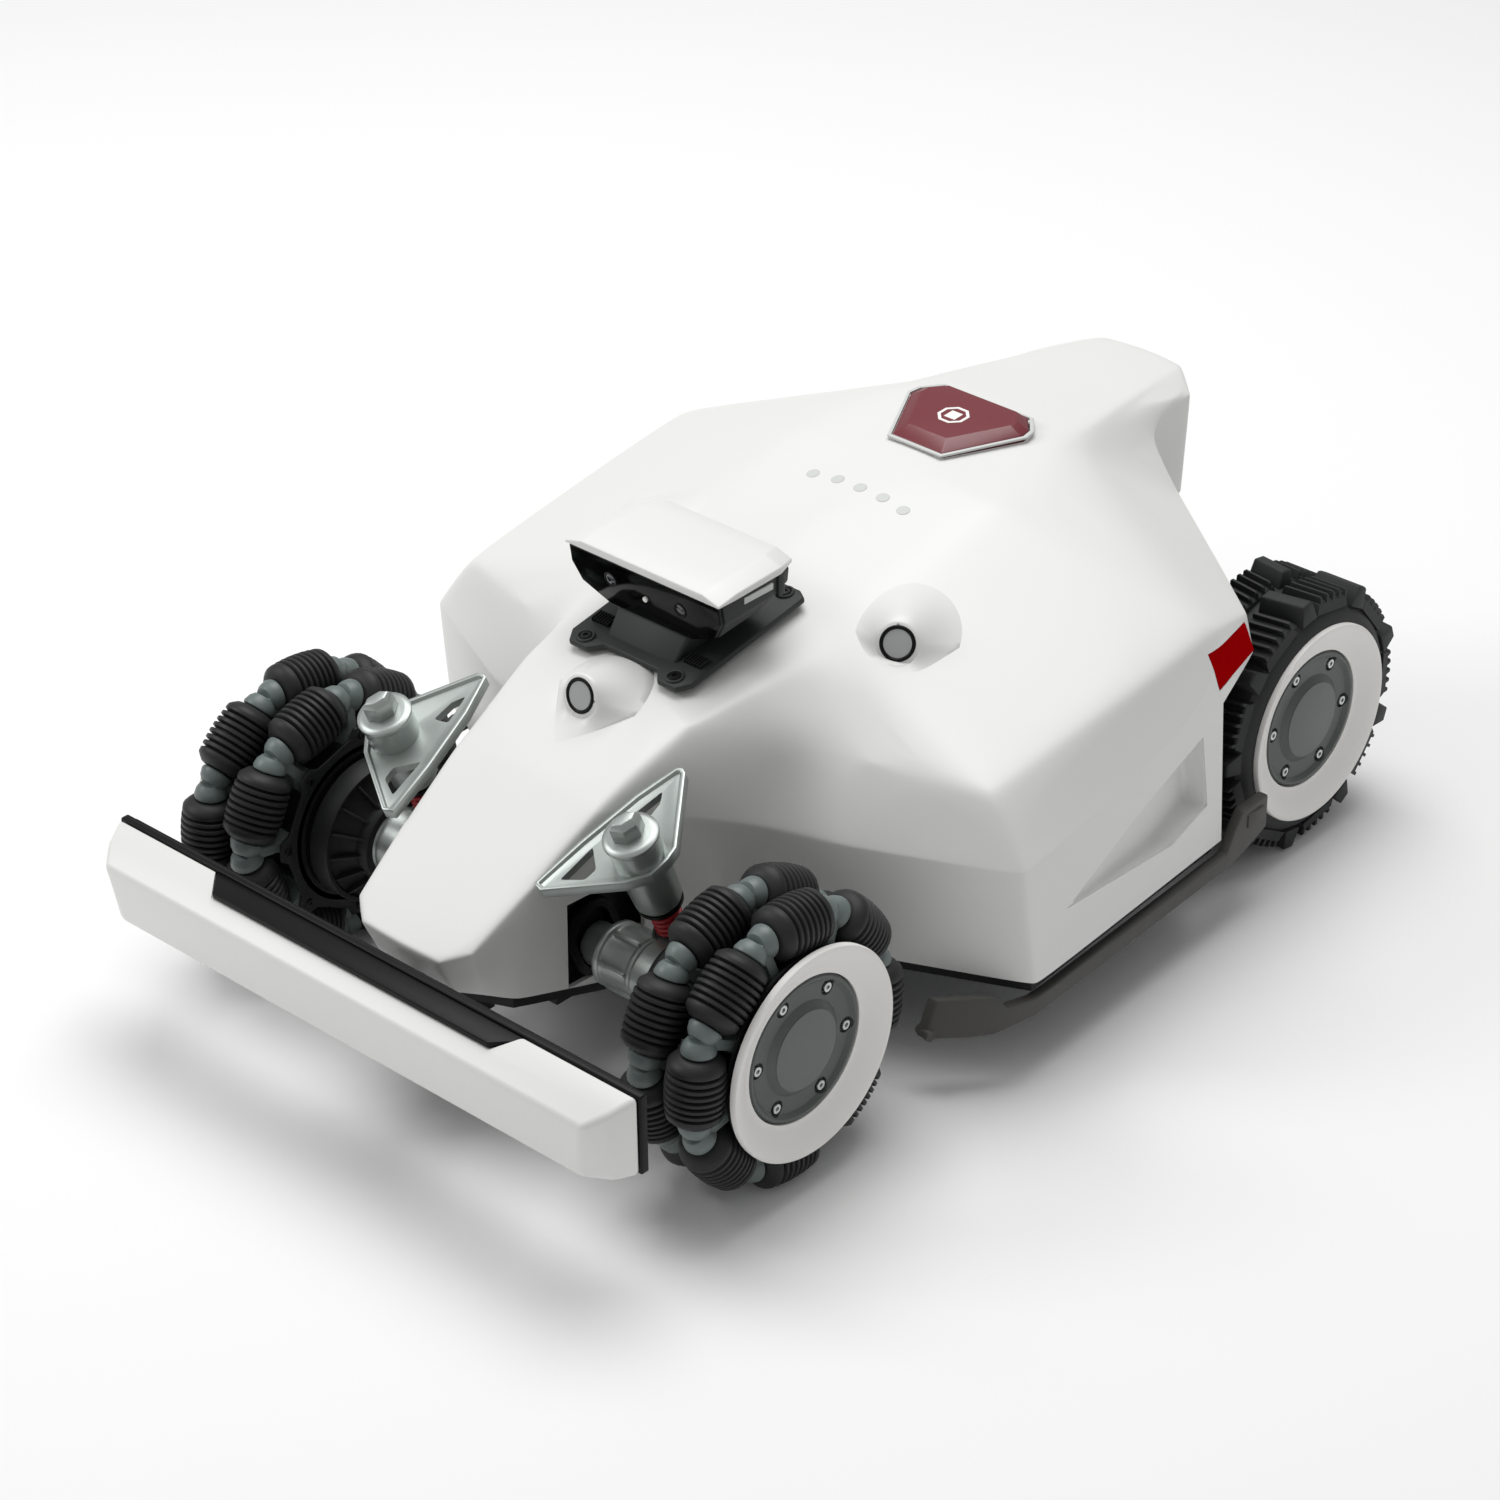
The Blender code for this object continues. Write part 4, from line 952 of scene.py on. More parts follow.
@dataclass
class CameraHead:
    """Camera on its base: screwed plate, pedestal with cooling fins, dark head, glass and white hood."""

    pad_behind: float = 0.078
    pad_up: float = 0.2048
    slope: float = 0.174
    plate: float = 0.0040
    lift: float = 0.0006

    def pad(self, x: float, behind: float, above: float = 0.0) -> Matrix:
        """Place on the sloping pad, with local Y pointing back along it."""
        along = Vector((0, 1, self.slope)).normalized()
        up = Vector((1, 0, 0)).cross(along)
        point = at(x, behind, self.pad_up + self.slope * (behind - self.pad_behind))
        return facing(point + up * above, up, Vector((1, 0, 0)))

    def build(self) -> None:
        """Make every piece of the camera."""
        self.build_base()
        self.build_screws()
        self.build_head()
        self.build_glass()
        self.build_hood()

    def build_base(self) -> None:
        """Plate with four ears, the pedestal and the fins beside it."""
        corners = ((-0.0200, 0.0040), (-0.0265, -0.0035), (-0.0400, -0.0035), (-0.0455, 0.0050),
                   (-0.0455, 0.0960), (-0.0390, 0.1000), (0.0390, 0.1000), (0.0455, 0.0960),
                   (0.0455, 0.0050), (0.0400, -0.0035), (0.0265, -0.0035), (0.0200, 0.0040))
        plate = prism(list(corners), self.plate)
        softened(plate, 0.0012, 3)
        base = Piece("camera_plate", "chassis", 35.0)
        base.add(plate, CAMERA_ABS, self.pad(0, self.pad_behind, self.lift))
        base.build("camera_base", slot="grey_plastic")
        low = [at(-0.0255, 0.0870, 0.2090), at(0.0255, 0.0870, 0.2090), at(0.0255, 0.1620, 0.2220),
               at(-0.0255, 0.1620, 0.2220)]
        high = [at(-0.0270, 0.1030, 0.2285), at(0.0270, 0.1030, 0.2285), at(0.0270, 0.1520, 0.2335),
                at(-0.0270, 0.1520, 0.2335)]
        pedestal = softened(loft([low, high]), 0.0020, 3)
        Piece("camera_pedestal", "chassis", 35.0).add(pedestal, CAMERA_ABS).build()
        fins = Piece("camera_fins", "chassis")
        for side in Side:
            for i in range(7):
                fin = block(Vector((-0.0005, 0, 0)), Vector((0.0005, 0.0085, 0.0030)))
                softened(fin, 0.0003, 1)
                x = side.value * (0.0290 + 0.0019 * i)
                fins.add(fin, BLACK_ABS, self.pad(x, 0.0935, self.lift + self.plate - 0.0005))
        fins.build()

    def build_screws(self) -> None:
        """Socket screws in raised seats at the four ears."""
        screws = Piece("camera_screws", "chassis", 30.0)
        for x, behind in ((0.0335, 0.0815), (-0.0335, 0.0815), (0.0335, 0.1700), (-0.0335, 0.1700)):
            place = self.pad(x, behind, self.lift + self.plate)
            seat = lathe([(0.0030, -0.0006), (0.0056, -0.0006), (0.0054, 0.0010), (0.0048, 0.0014),
                          (0.0040, 0.0012), (0.0036, -0.0004)], 32, closed=True)
            screws.add(seat, CAMERA_ABS, place)
            screws.add(socket_screw(0.0033, 0.0014), BLACK_STEEL, place)
        screws.build()

    def build_head(self) -> None:
        """Dark housing behind the glass, with the pale tab under the hood's side edge."""
        front = [at(-0.0310, 0.1000, 0.2250), at(0.0310, 0.1000, 0.2250), at(0.0500, 0.0985, 0.2330),
                 at(0.0562, 0.0966, 0.2440), at(0.0562, 0.0950, 0.2558), at(-0.0562, 0.0950, 0.2558),
                 at(-0.0562, 0.0966, 0.2440), at(-0.0500, 0.0985, 0.2330)]
        middle = [at(-0.0320, 0.1300, 0.2290), at(0.0320, 0.1300, 0.2290), at(0.0495, 0.1300, 0.2360),
                  at(0.0556, 0.1300, 0.2450), at(0.0555, 0.1300, 0.2560), at(-0.0555, 0.1300, 0.2560),
                  at(-0.0556, 0.1300, 0.2450), at(-0.0495, 0.1300, 0.2360)]
        rear = [at(-0.0330, 0.1480, 0.2330), at(0.0330, 0.1480, 0.2330), at(0.0470, 0.1490, 0.2400),
                at(0.0530, 0.1505, 0.2480), at(0.0530, 0.1515, 0.2560), at(-0.0530, 0.1515, 0.2560),
                at(-0.0530, 0.1505, 0.2480), at(-0.0470, 0.1490, 0.2400)]
        body = softened(loft([front, middle, rear]), 0.0010, 3, 20.0)
        head = Piece("camera_housing", "chassis", 30.0).add(body, CAMERA_ABS)
        for side in Side:
            tab = block(Vector((-0.0008, 0, 0)), Vector((0.0008, 0.0230, 0.0040)))
            softened(tab, 0.0005, 2)
            head.add(tab, BEZEL_GREY, Matrix.Translation(at(side.value * 0.0556, 0.1120, 0.2500)))
            clip = block(Vector((-0.0012, 0, 0)), Vector((0.0012, 0.0050, 0.0130)))
            softened(clip, 0.0006, 2)
            head.add(clip, CAMERA_ABS, Matrix.Translation(at(side.value * 0.0545, 0.1400, 0.2430)))
        head.build("camera_head", slot="grey_plastic")

    def build_glass(self) -> None:
        """Gloss black window with two small lenses in black rings, and in the middle a small pale disc that is a
        painted highlight of the lens.
        """
        points = ((-0.0306, 0.0998, 0.2255), (0.0306, 0.0998, 0.2255), (0.0495, 0.0983, 0.2334),
                  (0.0556, 0.0964, 0.2443), (0.0556, 0.0948, 0.2554), (-0.0556, 0.0948, 0.2554),
                  (-0.0556, 0.0964, 0.2443), (-0.0495, 0.0983, 0.2334))
        sections = [[at(x, behind - out, up) for x, behind, up in points] for out in (0.0004, 0.0030)]
        window = softened(loft(sections), 0.0007, 3, 20.0)
        glass = Piece("camera_glass", "chassis", 25.0).add(window, CAMERA_GLASS)
        glass.build("camera_window", slot="black_glass")
        tilt = Vector((0, -1.0, -0.15)).normalized()
        lenses = Piece("camera_lenses", "chassis", 30.0)
        for x in (-0.026, 0.026):
            place = facing(at(x, 0.0936, 0.2430), tilt)
            ring = lathe([(0.0034, -0.002), (0.0046, -0.002), (0.0046, 0.0002), (0.0042, 0.0005), (0.0034, 0.0002)],
                         40, closed=True)
            lenses.add(ring, SEAL_BLACK, place)
            lenses.add(lathe([(0.0, -0.002), (0.0034, -0.002), (0.0034, 0.0), (0.0020, 0.0006), (0.0, 0.0008)], 40),
                       LENS_GLASS, place)
        # Small white disc in the middle: a painted lens highlight, not a part or a print.
        lamp = lathe([(0.0, -0.001), (0.0016, -0.001), (0.0016, 0.0003), (0.0, 0.0006)], 24)
        lenses.add(lamp, PRINT_WHITE, facing(at(0.0, 0.0934, 0.2400), tilt))
        lenses.build()

    def hood_section(self, behind: float, half: float, lift: float) -> list[Vector]:
        """Six-sided cross-section of the hood.

        Args:
            behind: Distance behind the front axle.
            half: Half of its width.
            lift: How far its top is above the lowest one.

        Returns:
            Its corners, in order.
        """
        return [at(-half, behind, 0.2562), at(half, behind, 0.2562), at(half, behind, 0.2586 + lift),
                at(0.78 * half, behind, 0.2620 + lift), at(-0.78 * half, behind, 0.2620 + lift),
                at(-half, behind, 0.2586 + lift)]

    def build_hood(self) -> None:
        """White faceted hood that overhangs the glass."""
        sections = [self.hood_section(0.0905, 0.0575, -0.0010), self.hood_section(0.1050, 0.0575, 0.0014),
                    self.hood_section(0.1420, 0.0560, 0.0020), self.hood_section(0.1560, 0.0510, -0.0002)]
        hood = softened(loft(sections), 0.0012, 3, 12.0)
        Piece("camera_hood", "chassis", 25.0).add(hood, SHELL_WHITE).build(slot="white_plastic")


def socket_screw(radius: float, height: float) -> bmesh.types.BMesh:
    """Round screw head with a hexagonal socket, standing on local Z = 0.

    Args:
        radius: Radius of the head.
        height: Height of the head.

    Returns:
        The head.
    """
    head = lathe([(0.0, 0.0), (radius, 0.0), (radius, height * 0.75), (radius * 0.90, height), (0.0, height)], 24)
    socket = bmesh.new()
    bmesh.ops.create_cone(socket, cap_ends=True, segments=6, radius1=radius * 0.48, radius2=radius * 0.48,
                          depth=height)
    bmesh.ops.translate(socket, verts=socket.verts[:], vec=(0, 0, height * 0.98))
    return carved(head, [socket])


# ---------------------------------------------------------------------------- stop button


@dataclass
class StopButton:
    """Shield-shaped push button with broad chamfers and a plain stop mark."""

    shell: BodyShell
    rise: float = 0.0060
    chamfer: float = 0.0085

    def build(self) -> None:
        """Make the button and its mark."""
        flat = self.shell.deck_plane()
        sections = []
        for grow, up, ahead in ((0.0, -0.0100, 0.0), (0.0, 0.0010, 0.0), (-self.chamfer, self.rise - 0.0006, 0.0022)):
            sections.append([flat @ Vector((x, d + ahead, up)) for x, d in self.shell.button_outline(grow)])
        cap = softened(loft(sections), 0.0006, 3, 14.0)
        button = Piece("stop_cap", "stop_button", 25.0).add(cap, BUTTON_RED)
        outer = [(0.0098 * math.cos(math.radians(a)), 0.0098 * math.sin(math.radians(a)))
                 for a in range(22, 382, 45)]
        inner = [(x * 0.80, y * 0.80) for x, y in outer]
        hole = prism(inner, 0.01)
        hole.transform(Matrix.Translation((0, 0, -0.005)))
        mark = carved(prism(outer, 0.0004), [hole])
        button.add(mark, PRINT_WHITE, self.shell.deck_plane(self.rise - 0.0007))
        bar = block(Vector((-0.0040, -0.0040, 0)), Vector((0.0040, 0.0040, 0.0004)))
        button.add(softened(bar, 0.0008, 2, 60.0), PRINT_WHITE, self.shell.deck_plane(self.rise - 0.0007))
        button.build("stop_button", slot="red_button")


# ---------------------------------------------------------------------------- wheels


def radial(angle: float) -> Vector:
    """Direction out from an axle at an angle measured from straight back, upwards."""
    return Vector((0.0, math.cos(angle), math.sin(angle)))


def tangent(angle: float) -> Vector:
    """Direction round an axle at the same angle."""
    return Vector((0.0, -math.sin(angle), math.cos(angle)))


@dataclass
class WheelCover:
    """Outer face of a wheel: dished white ring, dark cap with six screw pockets, raised middle."""

    name: str
    body: str
    centre: Vector
    side: Side
    lip: float
    ring_r: float = 0.0618
    cap_r: float = 0.0424
    screw_r: float = 0.0345
    depth: float = 0.0076
    pockets: int = 6

    def place(self, x: float) -> Matrix:
        """Plane across the axle at a distance from the machine's middle, facing out."""
        point = Vector((self.side.value * x, self.centre.y, self.centre.z))
        return facing(point, Vector((self.side.value, 0, 0)), Vector((0, 1, 0)))

    def build(self) -> None:
        """Make ring, cap and screws."""
        self.build_ring()
        self.build_cap()
        self.build_screws()

    def build_ring(self) -> None:
        """Dished ring: rounded lip, long slope inwards and a small step at the cap."""
        r, d = self.ring_r, self.depth
        profile = [(r - 0.0030, -0.0050), (r - 0.0002, -0.0040), (r, -0.0014), (r - 0.0006, -0.0003), (r - 0.0018, 0.0),
                   (r - 0.0032, -0.0004), (r - 0.0090, -0.0030), (r - 0.0150, -d + 0.0006),
                   (self.cap_r + 0.0022, -d), (self.cap_r + 0.0006, -d - 0.0003), (self.cap_r + 0.0006, -d - 0.0040),
                   (r - 0.0150, -d - 0.0034)]
        ring = lathe(profile, 96, closed=True)
        Piece(f"{self.name}_ring", self.body, 40.0).add(ring, RING_WHITE, self.place(self.lip)).build()

    def build_cap(self) -> None:
        """Cap with a bevelled rim, a sunk track with round pockets and a flat raised middle."""
        r, d = self.cap_r, self.depth
        middle = 0.0235
        track = [(0.0, -0.012), (r, -0.012), (r, -0.0022), (r - 0.0012, -0.0008), (r - 0.0026, -0.0008),
                 (r - 0.0052, -0.0030), (middle + 0.0040, -0.0030), (middle, 0.0), (0.0, 0.0)]
        body = lathe(track, 96)
        holes = []
        for i in range(self.pockets):
            angle = math.tau * i / self.pockets - 0.09
            hole = lathe([(0.0, -0.0052), (0.0046, -0.0052), (0.0050, 0.004), (0.0, 0.004)], 28)
            hole.transform(Matrix.Translation((self.screw_r * math.cos(angle), self.screw_r * math.sin(angle), 0)))
            holes.append(hole)
        cap = carved(body, holes)
        bottom = self.lip - d + 0.0006
        Piece(f"{self.name}_cap", self.body, 24.0).add(cap, CAP_DARK, self.place(bottom)).build()
        disc = lathe([(0.0, 0.0), (middle - 0.0003, 0.0), (middle - 0.0003, 0.0003), (middle - 0.0009, 0.0005),
                      (0.0, 0.0005)], 72)
        Piece(f"{self.name}_disc", self.body, 30.0).add(disc, CAP_GREY, self.place(bottom)).build()

    def build_screws(self) -> None:
        """Bright socket screws in the pockets."""
        screws = Piece(f"{self.name}_screws", self.body, 30.0)
        bottom = self.place(self.lip - self.depth + 0.0006 - 0.0052)
        for i in range(self.pockets):
            angle = math.tau * i / self.pockets - 0.09
            spot = Matrix.Translation((self.screw_r * math.cos(angle), self.screw_r * math.sin(angle), 0))
            screws.add(socket_screw(0.0030, 0.0028), ZINC_STEEL, bottom @ spot)
        screws.build()


@dataclass
class OmniWheel:
    """Front wheel: two staggered rows of ribbed rollers on spacers, a drum and its cover."""

    side: Side
    wheel_r: float = AXLE.z
    roller_r: float = 0.0165
    roller_half: float = 0.0200
    ribs: int = 6
    drum_r: float = 0.0480
    inner_x: float = 0.1372
    outer_x: float = 0.2020
    rows: tuple[tuple[Row, float, float], ...] = ((Row.OUTER, 0.1862, 85.0), (Row.INNER, 0.1528, 62.5))

    @property
    def body(self) -> str:
        """Body that the wheel turns with."""
        return f"{self.side.word}_front_wheel"

    @property
    def axis_r(self) -> float:
        """Distance of the rollers' axes from the axle."""
        return self.wheel_r - self.roller_r

    def angles(self, first: float) -> list[float]:
        """Angles of a row's rollers, in radians."""
        return [math.radians(first + 360.0 / ROLLERS_PER_ROW * i) for i in range(ROLLERS_PER_ROW)]

    def axle_place(self, x: float) -> Matrix:
        """Plane across the axle, facing out."""
        return facing(Vector((self.side.value * x, AXLE.y, AXLE.z)), Vector((self.side.value, 0, 0)),
                      Vector((0, 1, 0)))

    def build(self) -> None:
        """Make drum, spacers, rollers and cover."""
        self.build_drum()
        self.build_inner_frame()
        for row, x, first in self.rows:
            self.build_spacers(row, x, first)
            self.build_rollers(row, x, first)
        WheelCover(self.body, self.body, Vector((0, AXLE.y, AXLE.z)), self.side, 0.2074).build()

    def build_drum(self) -> None:
        """Black drum between the two faces, open towards the arm."""
        x0, x1 = self.inner_x, self.outer_x
        profile = [(0.0096, x1 - 0.030), (0.0096, x0 + 0.006), (self.drum_r - 0.0060, x0 + 0.0030),
                   (self.drum_r - 0.0060, x0), (self.drum_r, x0), (self.drum_r, 0.1690), (self.drum_r - 0.0030, 0.1700),
                   (self.drum_r - 0.0030, 0.1720), (self.drum_r, 0.1730), (self.drum_r, x1 - 0.008),
                   (0.0585, x1 - 0.0045), (0.0585, x1 - 0.0030), (0.0440, x1 - 0.0072), (0.0096, x1 - 0.0078)]
        drum = lathe(profile, 64, closed=True)
        origin = facing(Vector((0, AXLE.y, AXLE.z)), Vector((self.side.value, 0, 0)), Vector((0, 1, 0)))
        Piece(f"{self.body}_drum", self.body, 35.0).add(drum, BLACK_ABS, origin).build(
            f"{self.side.word}_front_hub", slot="grey_plastic")

    def build_inner_frame(self) -> None:
        """Lobed frame on the inner face, with a screw in each lobe."""
        lobes = []
        _, _, first = self.rows[1]
        for angle in self.angles(first + 22.5):
            for turn, radius in ((-0.155, 0.0545), (-0.085, 0.0600), (0.085, 0.0600), (0.155, 0.0545)):
                lobes.append((radius * math.cos(angle + turn), radius * math.sin(angle + turn)))
        frame_plate = prism(lobes, 0.0020)
        softened(frame_plate, 0.0008, 2)
        bore = lathe([(0.0, -0.01), (0.0450, -0.01), (0.0450, 0.01), (0.0, 0.01)], 64)
        plate = carved(frame_plate, [bore])
        sign = self.side.value
        place = Matrix.Translation(Vector((sign * self.inner_x, AXLE.y, AXLE.z)))
        turn = Matrix(((0, 0, sign, 0), (1, 0, 0, 0), (0, 1, 0, 0), (0, 0, 0, 1)))
        piece = Piece(f"{self.body}_inner_frame", self.body, 30.0).add(plate, BLACK_ABS, place @ turn)
        for angle in self.angles(first + 22.5):
            centre = Vector((sign * self.inner_x, AXLE.y, AXLE.z)) + radial(angle) * 0.0545
            piece.add(socket_screw(0.0024, 0.0010), BLACK_STEEL, facing(centre, Vector((-sign, 0, 0))))
        piece.build()

    def build_spacers(self, row: Row, x: float, first: float) -> None:
        """Grey-green knees between the rollers, each on a web that rises from the drum."""
        piece = Piece(f"{self.body}_{row.value}_spacers", self.body, 35.0)
        half_pitch = math.pi / ROLLERS_PER_ROW
        knee_r = self.axis_r / math.cos(half_pitch)
        reach = self.axis_r * math.tan(half_pitch) - self.roller_half
        for angle in self.angles(first):
            middle = Vector((self.side.value * x, AXLE.y, AXLE.z))
            knee = middle + radial(angle + half_pitch) * (knee_r - 0.0012)
            for toward, sense in ((angle, 1.0), (angle + 2 * half_pitch, -1.0)):
                out = -tangent(toward) * sense
                tip = middle + radial(toward) * self.axis_r + tangent(toward) * sense * (self.roller_half + 0.0006)
                length = (tip - knee).length
                cone = lathe([(0.0, -0.0010), (0.0064, -0.0004), (0.0084, 0.0020), (0.0096, length * 0.75),
                              (0.0094, length * 0.92), (0.0086, length), (0.0, length)], 28)
                piece.add(cone, FIBRE_NYLON, facing(knee, out))
            web = self.web(middle, angle + half_pitch, knee_r)
            piece.add(softened(web, 0.0010, 2), FIBRE_NYLON)
        piece.build()

    def web(self, middle: Vector, angle: float, knee_r: float) -> bmesh.types.BMesh:
        """Tapered web from the drum to a knee.

        Args:
            middle: Point of the axle in the row's plane.
            angle: Angle of the web.
            knee_r: Distance of the knee from the axle.

        Returns:
            The web.
        """
        sections = []
        for distance, half_wide, half_thick in ((self.drum_r - 0.004, 0.0085, 0.0095), (0.0560, 0.0030, 0.0085),
                                                (0.0640, 0.0032, 0.0075), (knee_r + 0.0010, 0.0058, 0.0058)):
            point = middle + radial(angle) * distance
            side, deep = tangent(angle) * half_wide, Vector((half_thick, 0, 0))
            sections.append([point - side - deep, point + side - deep, point + side + deep, point - side + deep])
        return loft(sections)

    def envelope(self, along: float) -> float:
        """Radius at which a roller's rib meets the wheel's circle, at a distance from its middle."""
        return math.sqrt(self.wheel_r ** 2 - along ** 2) - self.axis_r

    def roller_profile(self) -> list[tuple[float, float]]:
        """Barrel with smooth domed ends and rounded ribs whose tops lie on the wheel's circle."""
        half = self.roller_half
        end = [(0.0, half), (0.0088, half), (0.0112, half - 0.0007), (0.0132, half - 0.0024),
               (self.envelope(0.0158), 0.0158), (self.envelope(0.0140), 0.0140),
               (self.envelope(0.0128) - 0.0002, 0.0128)]
        pitch = 0.0232 / self.ribs
        ribs = []
        for i in range(self.ribs):
            along = 0.0116 - pitch * (i + 0.5)
            top = self.envelope(along)
            ribs += [(top - 0.0031, along + pitch * 0.46), (top - 0.0010, along + pitch * 0.34),
                     (top - 0.0001, along + pitch * 0.22), (top - 0.0001, along - pitch * 0.22),
                     (top - 0.0010, along - pitch * 0.34), (top - 0.0031, along - pitch * 0.46)]
        return end + ribs + [(radius, -along) for radius, along in reversed(end)]

    def build_rollers(self, row: Row, x: float, first: float) -> None:
        """Ribbed rubber rollers, each on its own body."""
        for i, angle in enumerate(self.angles(first)):
            name = f"roller_{self.side.word}_{row.value}_{i + 1}"
            centre = Vector((self.side.value * x, AXLE.y, AXLE.z)) + radial(angle) * self.axis_r
            roller = lathe(self.roller_profile(), 28)
            place = facing(centre, tangent(angle), radial(angle))
            Piece(f"{name}_rubber", name, 50.0).add(roller, ROLLER_RUBBER, place).build(name, slot="roller_rubber")


@dataclass
class RearWheel:
    """Rear wheel: tyre with paddle lugs and groups of fins in two staggered rows, and its cover."""

    side: Side
    radius: float = 0.0836
    base_r: float = 0.0735
    inner_x: float = 0.1365
    outer_x: float = 0.1955
    sectors: int = 9
    fins: int = 5

    @property
    def body(self) -> str:
        """Body that the wheel turns with."""
        return f"{self.side.word}_rear_wheel"

    def build(self) -> None:
        """Make tyre, lugs and cover."""
        self.build_tyre()
        WheelCover(self.body, self.body, Vector((0, REAR_AXLE.y, REAR_AXLE.z)), self.side, 0.2028).build()

    def build_tyre(self) -> None:
        """Round carcass with a rounded outer wall, and the tread on it."""
        x0, x1, base = self.inner_x, self.outer_x, self.base_r
        profile = [(0.0300, x0 + 0.004), (0.0560, x0 + 0.001), (0.0600, x0), (base - 0.004, x0 + 0.001),
                   (base - 0.001, x0 + 0.004), (base, x0 + 0.010), (base, x1 - 0.008), (base - 0.0015, x1 - 0.002),
                   (base - 0.0060, x1 + 0.0020), (0.0640, x1 + 0.0040), (0.0616, x1 + 0.0040), (0.0590, x1),
                   (0.0540, x1 - 0.0065), (0.0300, x1 - 0.0075)]
        place = facing(Vector((0, REAR_AXLE.y, REAR_AXLE.z)), Vector((self.side.value, 0, 0)), Vector((0, 1, 0)))
        tyre = Piece(f"{self.body}_tyre", self.body, 30.0)
        tyre.add(lathe(profile, 96, closed=True), TYRE_RUBBER, place)
        pitch = math.tau / self.sectors
        for low, high, shift, lean in ((0.1385, 0.1640, 0.0, 1.0), (0.1675, 0.1975, 0.5, -1.0)):
            for i in range(self.sectors):
                angle = pitch * (i + shift)
                tyre.add(self.paddle(angle, low, high, lean), TYRE_RUBBER)
                for k in range(self.fins):
                    offset = pitch * (0.27 + 0.46 * k / (self.fins - 1))
                    tyre.add(self.fin(angle + offset, low, high, lean), TYRE_RUBBER)
                tyre.add(self.fin_bed(angle + pitch * 0.5, low, high), TYRE_RUBBER)
        tyre.build(f"{self.side.word}_rear_wheel", slot="tyre_rubber")

    def tread_block(self, angle: float, low: float, high: float, lean: float, half_root: float, half_top: float,
                    foot: float, top: float) -> bmesh.types.BMesh:
        """Tapered block that stands on the tread.

        Args:
            angle: Where it stands round the axle.
            low: Its end nearer the machine's middle.
            high: Its outer end.
            lean: How far its outer end runs ahead, as a share of 4 mm.
            half_root: Half its thickness at the foot.
            half_top: Half its thickness at the top.
            foot: Radius of its foot.
            top: Radius of its top.

        Returns:
            The block.
        """
        sections = []
        centre = Vector((0, REAR_AXLE.y, REAR_AXLE.z))
        for radius, half, shrink in ((foot, half_root, 0.0), (top - 0.0008, half_top, 0.0010),
                                     (top, half_top * 0.8, 0.0022)):
            up, along = radial(angle) * radius, tangent(angle)
            ahead = along * 0.004 * lean
            inner = Vector((self.side.value * (low + shrink), 0, 0)) - ahead * 0.5
            outer = Vector((self.side.value * (high - shrink), 0, 0)) + ahead * 0.5
            base = centre + up
            sections.append([base + inner - along * half, base + outer - along * half,
                             base + outer + along * half, base + inner + along * half])
        return loft(sections)

    def paddle(self, angle: float, low: float, high: float, lean: float) -> bmesh.types.BMesh:
        """Tall lug that digs into turf."""
        lug = self.tread_block(angle, low, high, lean, 0.0070, 0.0042, self.base_r - 0.003, self.radius)
        return softened(lug, 0.0007, 2, 30.0)

    def fin(self, angle: float, low: float, high: float, lean: float) -> bmesh.types.BMesh:
        """Thin low rib between the lugs."""
        return self.tread_block(angle, low + 0.002, high - 0.001, lean * 0.6, 0.0014, 0.0009, self.base_r - 0.003,
                                self.radius - 0.0028)

    def fin_bed(self, angle: float, low: float, high: float) -> bmesh.types.BMesh:
        """Raised bed that the fins stand on."""
        return self.tread_block(angle, low + 0.001, high - 0.0005, 0.0, 0.0150, 0.0135, self.base_r - 0.004,
                                self.base_r + 0.0030)


# ---------------------------------------------------------------------------- front suspension


